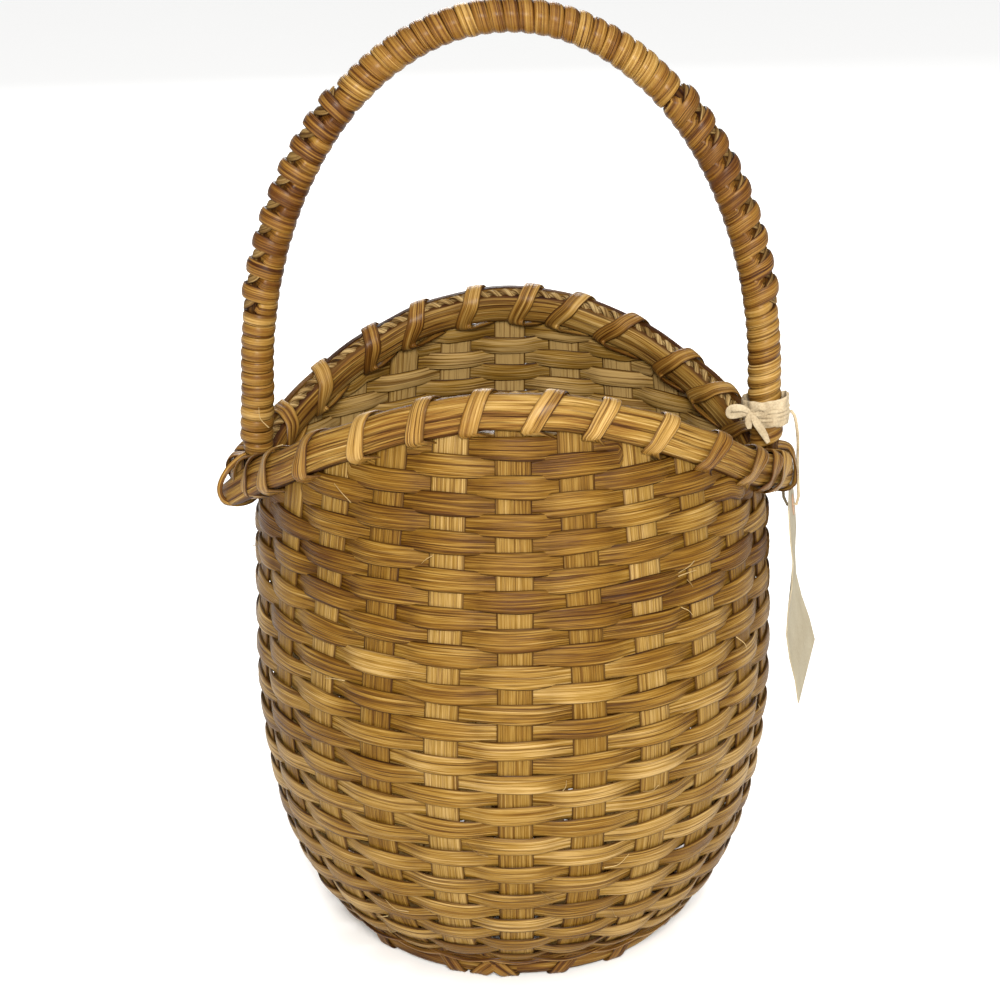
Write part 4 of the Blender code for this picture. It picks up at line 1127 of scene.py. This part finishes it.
def handle_wraps():
    sizes = (WRAP_START_RISE, LEG_WRAP_LENGTH, FLANK_WRAP_LENGTH, WRAP_WIDTH)
    start, leg, flank, between = (size / HANDLE_RUN[-1] for size in sizes)
    leg_end = start + leg + between / 2
    flank_end = leg_end + flank + between
    seed = WRAP_SEED
    for name in ("right", "left"):
        for part, first, last in (("leg", 0, leg_end), ("flank", leg_end, flank_end)):
            ends = (first, last) if name == "right" else (1 - last, 1 - first)
            seed += 1
            wrap(f"wrap_{part}_{name}", part, ends, seed)
            if part == "flank":
                leader(name, *ends)
    wrap("wrap_crown", "crown", (flank_end, 1 - flank_end), CROWN_SEED)


def wrap(name, part, ends, seed):
    piece(f"{name}_cane", [wrap_skin(*ends, part, seed)], "binding_cane", [name])


def leader(name, first, last):
    """Two pale splints that cross between the turns on the handle's outer side."""
    pairs = round((last - first) * HANDLE_RUN[-1] / WRAP_PITCH / 2)
    steps = pairs * LEADER_STEPS
    half_thick = HANDLE_THICKNESS / 2 + LEADER_LIFT
    half_wide = HANDLE_WIDTH / 2 + LEADER_LIFT
    skins = []
    for ply in (-1, 1):
        route = []
        for step in range(steps + 1):
            along = step / steps * pairs
            angle = ply * LEADER_REACH * math.sin(math.pi * along)
            lift = LEADER_CROSSING * ply * math.cos(math.pi * along)
            middle, _, away = handle_frame(first + (last - first) * step / steps)
            reach = away * (half_thick + lift) * math.cos(angle)
            reach = reach + DEPTH * (half_wide + lift) * math.sin(angle)
            route.append((middle + reach, unit(reach)))
        sections = crowned_sections(LEADER_WIDTH, LEADER_THICKNESS, LEADER_DOME)
        skins.append(strip(route, sections, tone=LEADER_TONE + FINE_TONE_SWING * ply))
    piece(f"handle_leader_{name}", skins, "seagrass_rope")


def handle_core():
    """A copy of the solid's mesh, with strip coordinates and point values for the hoops' material that paint
    it dark, as painted shade in the gaps between the wraps.
    """
    mesh = bpy.data.meshes.new_from_object(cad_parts["handle_core"])
    spots = np.array([mesh.vertices[loop.vertex_index].co for loop in mesh.loops])
    mesh.uv_layers.new(name="strip").data.foreach_set("uv", spots[:, [2, 1]].ravel())
    for label, value in CORE_PAINTED_SHADE_VALUES.items():
        set_values(mesh, label, np.full(len(mesh.vertices), value))
    mesh.materials.clear()
    mesh.materials.append(LOOKS["hoop_wood"])
    dress(linked("handle_core_wood", mesh), "basket", ["handle_core"])


# Foot
FOOT_LOOK_STEPS = 180
FOOT_WIDTH_WANDER_SHARE = 0.02
# Painted shade: the foot hoop is drawn darker, for the shade under the belly
FOOT_PAINTED_SHADE_TONE = 0.32
FOOT_TONE_SWING = 0.12


def round_spot(place, radius, height):
    turn = place / STAKE_COUNT * 2 * math.pi
    return np.array([radius * math.sin(turn), -radius * math.cos(turn), height])


def foot_hoop():
    rng = np.random.default_rng(51)
    places = np.arange(FOOT_LOOK_STEPS) * STAKE_COUNT / FOOT_LOOK_STEPS
    radius = FOOT_RADIUS - FOOT_THICKNESS / 2
    middles = [round_spot(place, radius, (FOOT_TOP + FOOT_BOTTOM) / 2) for place in places]
    outs = unit([round_spot(place, 1, 0) for place in places])
    acrosses = np.tile([0.0, 0, 1], (len(places), 1))
    swing = FOOT_WIDTH_WANDER_SHARE * wander(places, (5, 11, 17), rng)
    # Painted shade in the foot hoop's tone
    tone = FOOT_PAINTED_SHADE_TONE + FOOT_TONE_SWING * wander(places, (3, 7, 12), rng)
    widths = FOOT_HEIGHT * (1 - FOOT_WIDTH_WANDER_SHARE + swing)
    sections = crowned_sections(widths, FOOT_THICKNESS, shares=HOOP_SHARES)
    hoop = skin(middles, acrosses, outs, sections, True, tone)
    piece("foot_hoop_wood", [hoop], "hoop_wood", ["foot_hoop"])


def foot_lashing():
    """Bands of cane from the base round the foot hoop. Two of them cross at the front."""
    rng = np.random.default_rng(53)
    outer = FOOT_RADIUS + LASH_LIFT / 2
    inner = FOOT_RADIUS - FOOT_THICKNESS - LASH_LIFT / 2
    bands = []
    for gap, slant in FOOT_BANDS:
        route = []
        for radius, height, shift, out_share, up_share in (
            (outer + FOOT_BAND_FLARE, FOOT_TOP + FOOT_BAND_RISE, 0.5, 1, 0.6),
            (outer, FOOT_TOP - FOOT_BAND_SHOULDER, 0.3, 1, 0.1),
            (outer, FOOT_BOTTOM + FOOT_BAND_RISE, -0.2, 1, -0.1),
            (outer - FOOT_BAND_CORNER, FOOT_BOTTOM + LASH_LIFT, -0.4, 1, -0.7),
            ((outer + inner) / 2, FOOT_BOTTOM - LASH_LIFT / 2, -0.5, 0, -1),
            (inner + FOOT_BAND_CORNER, FOOT_BOTTOM + LASH_LIFT, -0.4, -1, -0.7),
            (inner, FOOT_TOP / 2, 0, -1, 0),
            (inner, FOOT_TOP + LASH_LIFT, 0.4, -1, 0.7),
            ((outer + inner) / 2, FOOT_TOP + FOOT_BAND_RISE, 0.5, 0, 1),
        ):
            place = gap + shift * slant
            route.append((round_spot(place, radius, height), unit(round_spot(place, out_share, up_share))))
        # Painted shade in the bands' tone
        tone = rng.uniform(*FOOT_BAND_PAINTED_SHADE_TONES)
        bands.append(band_skin(*columns(route), FOOT_BAND_STEPS, FOOT_BAND_WIDTH, FOOT_BAND_RIDGES, tone))
    piece("foot_lashing_cane", bands, "binding_cane", ["foot_lashing"])


def foot_twine():
    """Two strands of cane that cross between the stakes, round the lower edge of the wall."""
    rng = np.random.default_rng(52)
    level = float(np.interp(FIRST_ROW_RUN - WEAVER_WIDTH / 2, MERIDIAN_RUN, MERIDIAN_LEVELS))
    off = PASS_OFFSET + HALF_WEAVER + CLEARANCE
    places = np.arange(TWINE_STEPS) * STAKE_COUNT / TWINE_STEPS
    skins = []
    for ply in range(2):
        route = []
        for place in places:
            middle, _, up, out = wall_frame(place, level)
            wave, aside = math.cos(math.pi * (place + ply)), math.sin(math.pi * (place + ply))
            rise = TWINE_DROP * (aside**2 - 1) + TWINE_PLY_RISE * ply
            route.append((middle + out * (off + TWINE_SWING * wave) + up * rise, out))
        sections = ridged_sections(TWINE_WIDTH, WEAVER_THICKNESS, TWINE_DOME, 2)
        tone = 0.5 + WRAP_TONE_SWING * wander(places, (5, 11, 19), rng)
        skins.append(strip(route, sections, True, tone))
    piece("foot_twine_cane", skins, "binding_cane", ["foot_twine"])


# Tag and string
def tie_ring():
    middle = np.interp(TIE_HEIGHT, HANDLE_Z[:2], HANDLE_X[:2])
    wrapped = (HANDLE_THICKNESS / 2 + CLEARANCE + WRAP_THICKNESS) * HANDLE_WIDTH / HANDLE_THICKNESS
    return middle, (wrapped + CLEARANCE + TIE_RADIUS) / math.cos(math.pi / TIE_SIDES)


def tie_side():
    middle, radius = tie_ring()
    return Vector((middle + radius + TIE_RADIUS, 0, TIE_HEIGHT))


def tag_matrix():
    turn = Matrix.Rotation(math.pi / 2 - TAG_TURN, 4, "Z")
    lean = Matrix.Rotation(TAG_LEAN, 4, "X")
    roll = Matrix.Rotation(TAG_ROLL, 4, "Y")
    return Matrix.Translation(tie_side() + Vector(TAG_HOLE_FROM_TIE)) @ turn @ lean @ roll


def string_points():
    loop = [np.array(tag_matrix() @ Vector(spot)) for spot in STRING_LOOP_FROM_HOLE]
    way_down = [np.array(tie_side() + Vector(spot)) for spot in [(CLEARANCE, 0, 0)] + STRING_ROUTE_FROM_TIE]
    return [*smooth_route(way_down + loop[:1], STRING_POINTS), *loop[1:]]


def tag_string(card):
    """The free cotton string, from the tie to the card's hole and back in a loop, which carries the card."""
    points = string_points()
    curve = bpy.data.curves.new("tag_string_cotton", "CURVE")
    curve.dimensions = "3D"
    curve.bevel_depth = STRING_RADIUS
    curve.bevel_resolution = 3
    curve.use_fill_caps = True
    line = curve.splines.new("POLY")
    line.points.add(len(points) - 1)
    for spot, point in zip(line.points, points):
        spot.co = (*point, 1)
    curve.materials.append(LOOKS["cotton_string"])
    cotton = dress(linked("tag_string_cotton", curve), "tag", ["tag_string"])


def tag_card():
    """The solid's own blank card, in paper. Returns it."""
    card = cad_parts["tag_card"]
    card.data.materials.clear()
    card.data.materials.append(LOOKS["tag_paper"])
    return card


def tag_patch():
    """A flat ring of paper round the card's hole, on its front."""
    turns = np.arange(PATCH_SIDES) * 2 * math.pi / PATCH_SIDES
    radius, still = (TAG_PATCH_RADIUS + TAG_HOLE_RADIUS) / 2, np.zeros(PATCH_SIDES)
    radial = np.stack([np.cos(turns), still, np.sin(turns)], 1)
    facing = np.stack([still, still - 1, still], 1)
    sections = crowned_sections(TAG_PATCH_RADIUS - TAG_HOLE_RADIUS, PATCH_THICKNESS)
    ring = skin(radius * radial + PATCH_OFFSET * facing, radial, facing, sections, True)
    matrix = np.array(tag_matrix())
    ring["corners"] = ring["corners"] @ matrix[:3, :3].T + matrix[:3, 3]
    piece("tag_patch_paper", [ring], "patch_paper", ["tag_patch"], "tag")


def string_tie():
    """Three turns of cotton with a crumpled band of gauze round them and a small bow at the left."""
    middle, radius = tie_ring()
    rng = np.random.default_rng(81)
    turn = np.linspace(0, TIE_TURNS * 2 * math.pi, TIE_STEPS)
    rise = np.linspace(-TIE_SPREAD, TIE_SPREAD, TIE_STEPS)
    ring = np.stack([middle + radius * np.cos(turn), radius * np.sin(turn), TIE_HEIGHT + rise], 1)
    around = np.stack([np.cos(turn), np.sin(turn), np.zeros(TIE_STEPS)], 1)
    parts = [strip(zip(ring, around), round_sections(TIE_RADIUS * TIE_STRAND_SHARE))]
    turn = np.arange(GAUZE_STEPS) * 2 * math.pi / GAUZE_STEPS
    for rise, tilt, phase in GAUZE_BANDS:
        size = radius + GAUZE_WANDER * wander(turn, (3, 5, 9), rng, 2 * math.pi)
        x, y = middle + size * np.cos(turn), size * np.sin(turn)
        points = np.stack([x, y, TIE_HEIGHT + rise + tilt * np.cos(turn + phase)], 1)
        folds = CRUMPLE * wander(turn, (4, 7, 11), rng, 2 * math.pi)
        around = np.stack([np.cos(turn), np.sin(turn), folds], 1)
        widths = GAUZE_WIDTH * (1 + CRUMPLE * wander(turn, (2, 3, 7), rng, 2 * math.pi))
        sections = ridged_sections(widths, GAUZE_THICKNESS, GAUZE_DOME, GAUZE_RIDGES)
        parts.append(strip(zip(points, around), sections, True))
    knot = np.array([middle, 0, TIE_HEIGHT]) + BOW_KNOT_FROM_TIE
    facing = unit(np.tile(BOW_FACING, (BOW_STEPS, 1)))
    swell = (1 - BOW_TIP_SHARE) * np.sin(np.linspace(0, 1, BOW_STEPS) * math.pi)
    widths = BOW_WIDTH * (BOW_TIP_SHARE + swell)
    sections = ridged_sections(widths, GAUZE_THICKNESS, GAUZE_DOME, BOW_RIDGES)
    for loop in BOW_LOOPS:
        points = smooth_route(knot + np.array(loop), BOW_STEPS)
        parts.append(strip(zip(points, facing), sections))
    piece("string_tie_cotton", parts, "cotton_string", ["string_tie"])


def stray_fibres():
    """Fine fibres that have come loose from the splints."""
    rng = np.random.default_rng(91)
    sections = round_sections(FIBRE_RADIUS * np.linspace(1, FIBRE_TIP_SHARE, FIBRE_STEPS))
    skins = []
    for _ in range(FIBRE_COUNT):
        place, level = rng.uniform(-SIDE_STAKE, SIDE_STAKE), rng.uniform(*FIBRE_LEVELS)
        middle, along, up, out = wall_frame(place, level)
        start = middle + out * (PASS_OFFSET + HALF_WEAVER)
        reach = rng.uniform(*FIBRE_LENGTHS)
        heading = unit(along * rng.uniform(-1, 1) + up * rng.uniform(*FIBRE_CLIMBS))
        bend = np.cross(out, heading) * rng.uniform(-FIBRE_BEND, FIBRE_BEND)
        halfway, tip = (a * heading + b * out + c * bend for a, b, c in FIBRE_SHAPE)
        points = smooth_route([start, start + halfway * reach, start + tip * reach], FIBRE_STEPS)
        route = [(point, out) for point in points]
        skins.append(strip(route, sections, tone=rng.uniform(*FIBRE_TONES)))
    piece("stray_fibres", skins, "seagrass_rope")


# Stage
def camera():
    data = bpy.data.cameras.new("photo_camera")
    data.lens = LENS
    data.sensor_width = SENSOR
    made = linked("photo_camera", data)
    look_down = Matrix.Rotation(math.pi / 2 - CAMERA_PITCH, 4, "X")
    made.matrix_world = Matrix.Translation(CAMERA_SPOT) @ look_down @ Matrix.Rotation(CAMERA_ROLL, 4, "Z")
    bpy.context.scene.camera = made


def area_light(name, spot, target, size, power, colour=(1, 1, 1)):
    data = bpy.data.lights.new(name, "AREA")
    data.shape = "DISK"
    data.size = size
    data.energy = power
    data.color = colour
    made = linked(name, data)
    made.location = spot
    made.rotation_euler = (Vector(target) - Vector(spot)).to_track_quat("-Z", "Y").to_euler()


def sun_light(name):
    data = bpy.data.lights.new(name, "SUN")
    data.energy = SUN_STRENGTH
    data.angle = SUN_SPREAD
    linked(name, data).rotation_euler = Vector(SUN_DIRECTION).to_track_quat("Z", "Y").to_euler()


def stage():
    """A pale plain floor in soft studio light."""
    mesh = bpy.data.meshes.new("floor")
    built = bmesh.new()
    bmesh.ops.create_circle(built, cap_ends=True, segments=FLOOR_SIDES, radius=FLOOR_RADIUS)
    built.to_mesh(mesh)
    built.free()
    mesh.materials.append(LOOKS["floor"])
    floor = linked("floor", mesh)
    floor.location.z = -FLOOR_DROP
    world = bpy.data.worlds.new("studio")
    bpy.context.scene.world = world
    world.use_nodes = True
    background = world.node_tree.nodes["Background"]
    background.inputs["Color"].default_value = (1, 1, 1, 1)
    background.inputs["Strength"].default_value = WORLD_STRENGTH
    area_light("key", **KEY_LIGHT)
    area_light("back_fill", **BACK_FILL)
    sun_light("overhead")


camera()
string_tie()
tag_patch()
tag_string(tag_card())
stage()
weaver_rings()
packing_weavers()
spokes()
rim_hoop("rim_outer", 1, 21)
rim_hoop("rim_inner", -1, 22)
rim_filler("rim_filler_front", -FILLER_REACH, FILLER_REACH, 23)
rim_filler("rim_filler_back", BACK_STAKE - FILLER_REACH, BACK_STAKE + FILLER_REACH, 24)
rim_lashing()
handle_core()
handle_wraps()
foot_hoop()
foot_lashing()
foot_twine()
stray_fibres()
bpy.context.scene.view_settings.view_transform = "Standard"
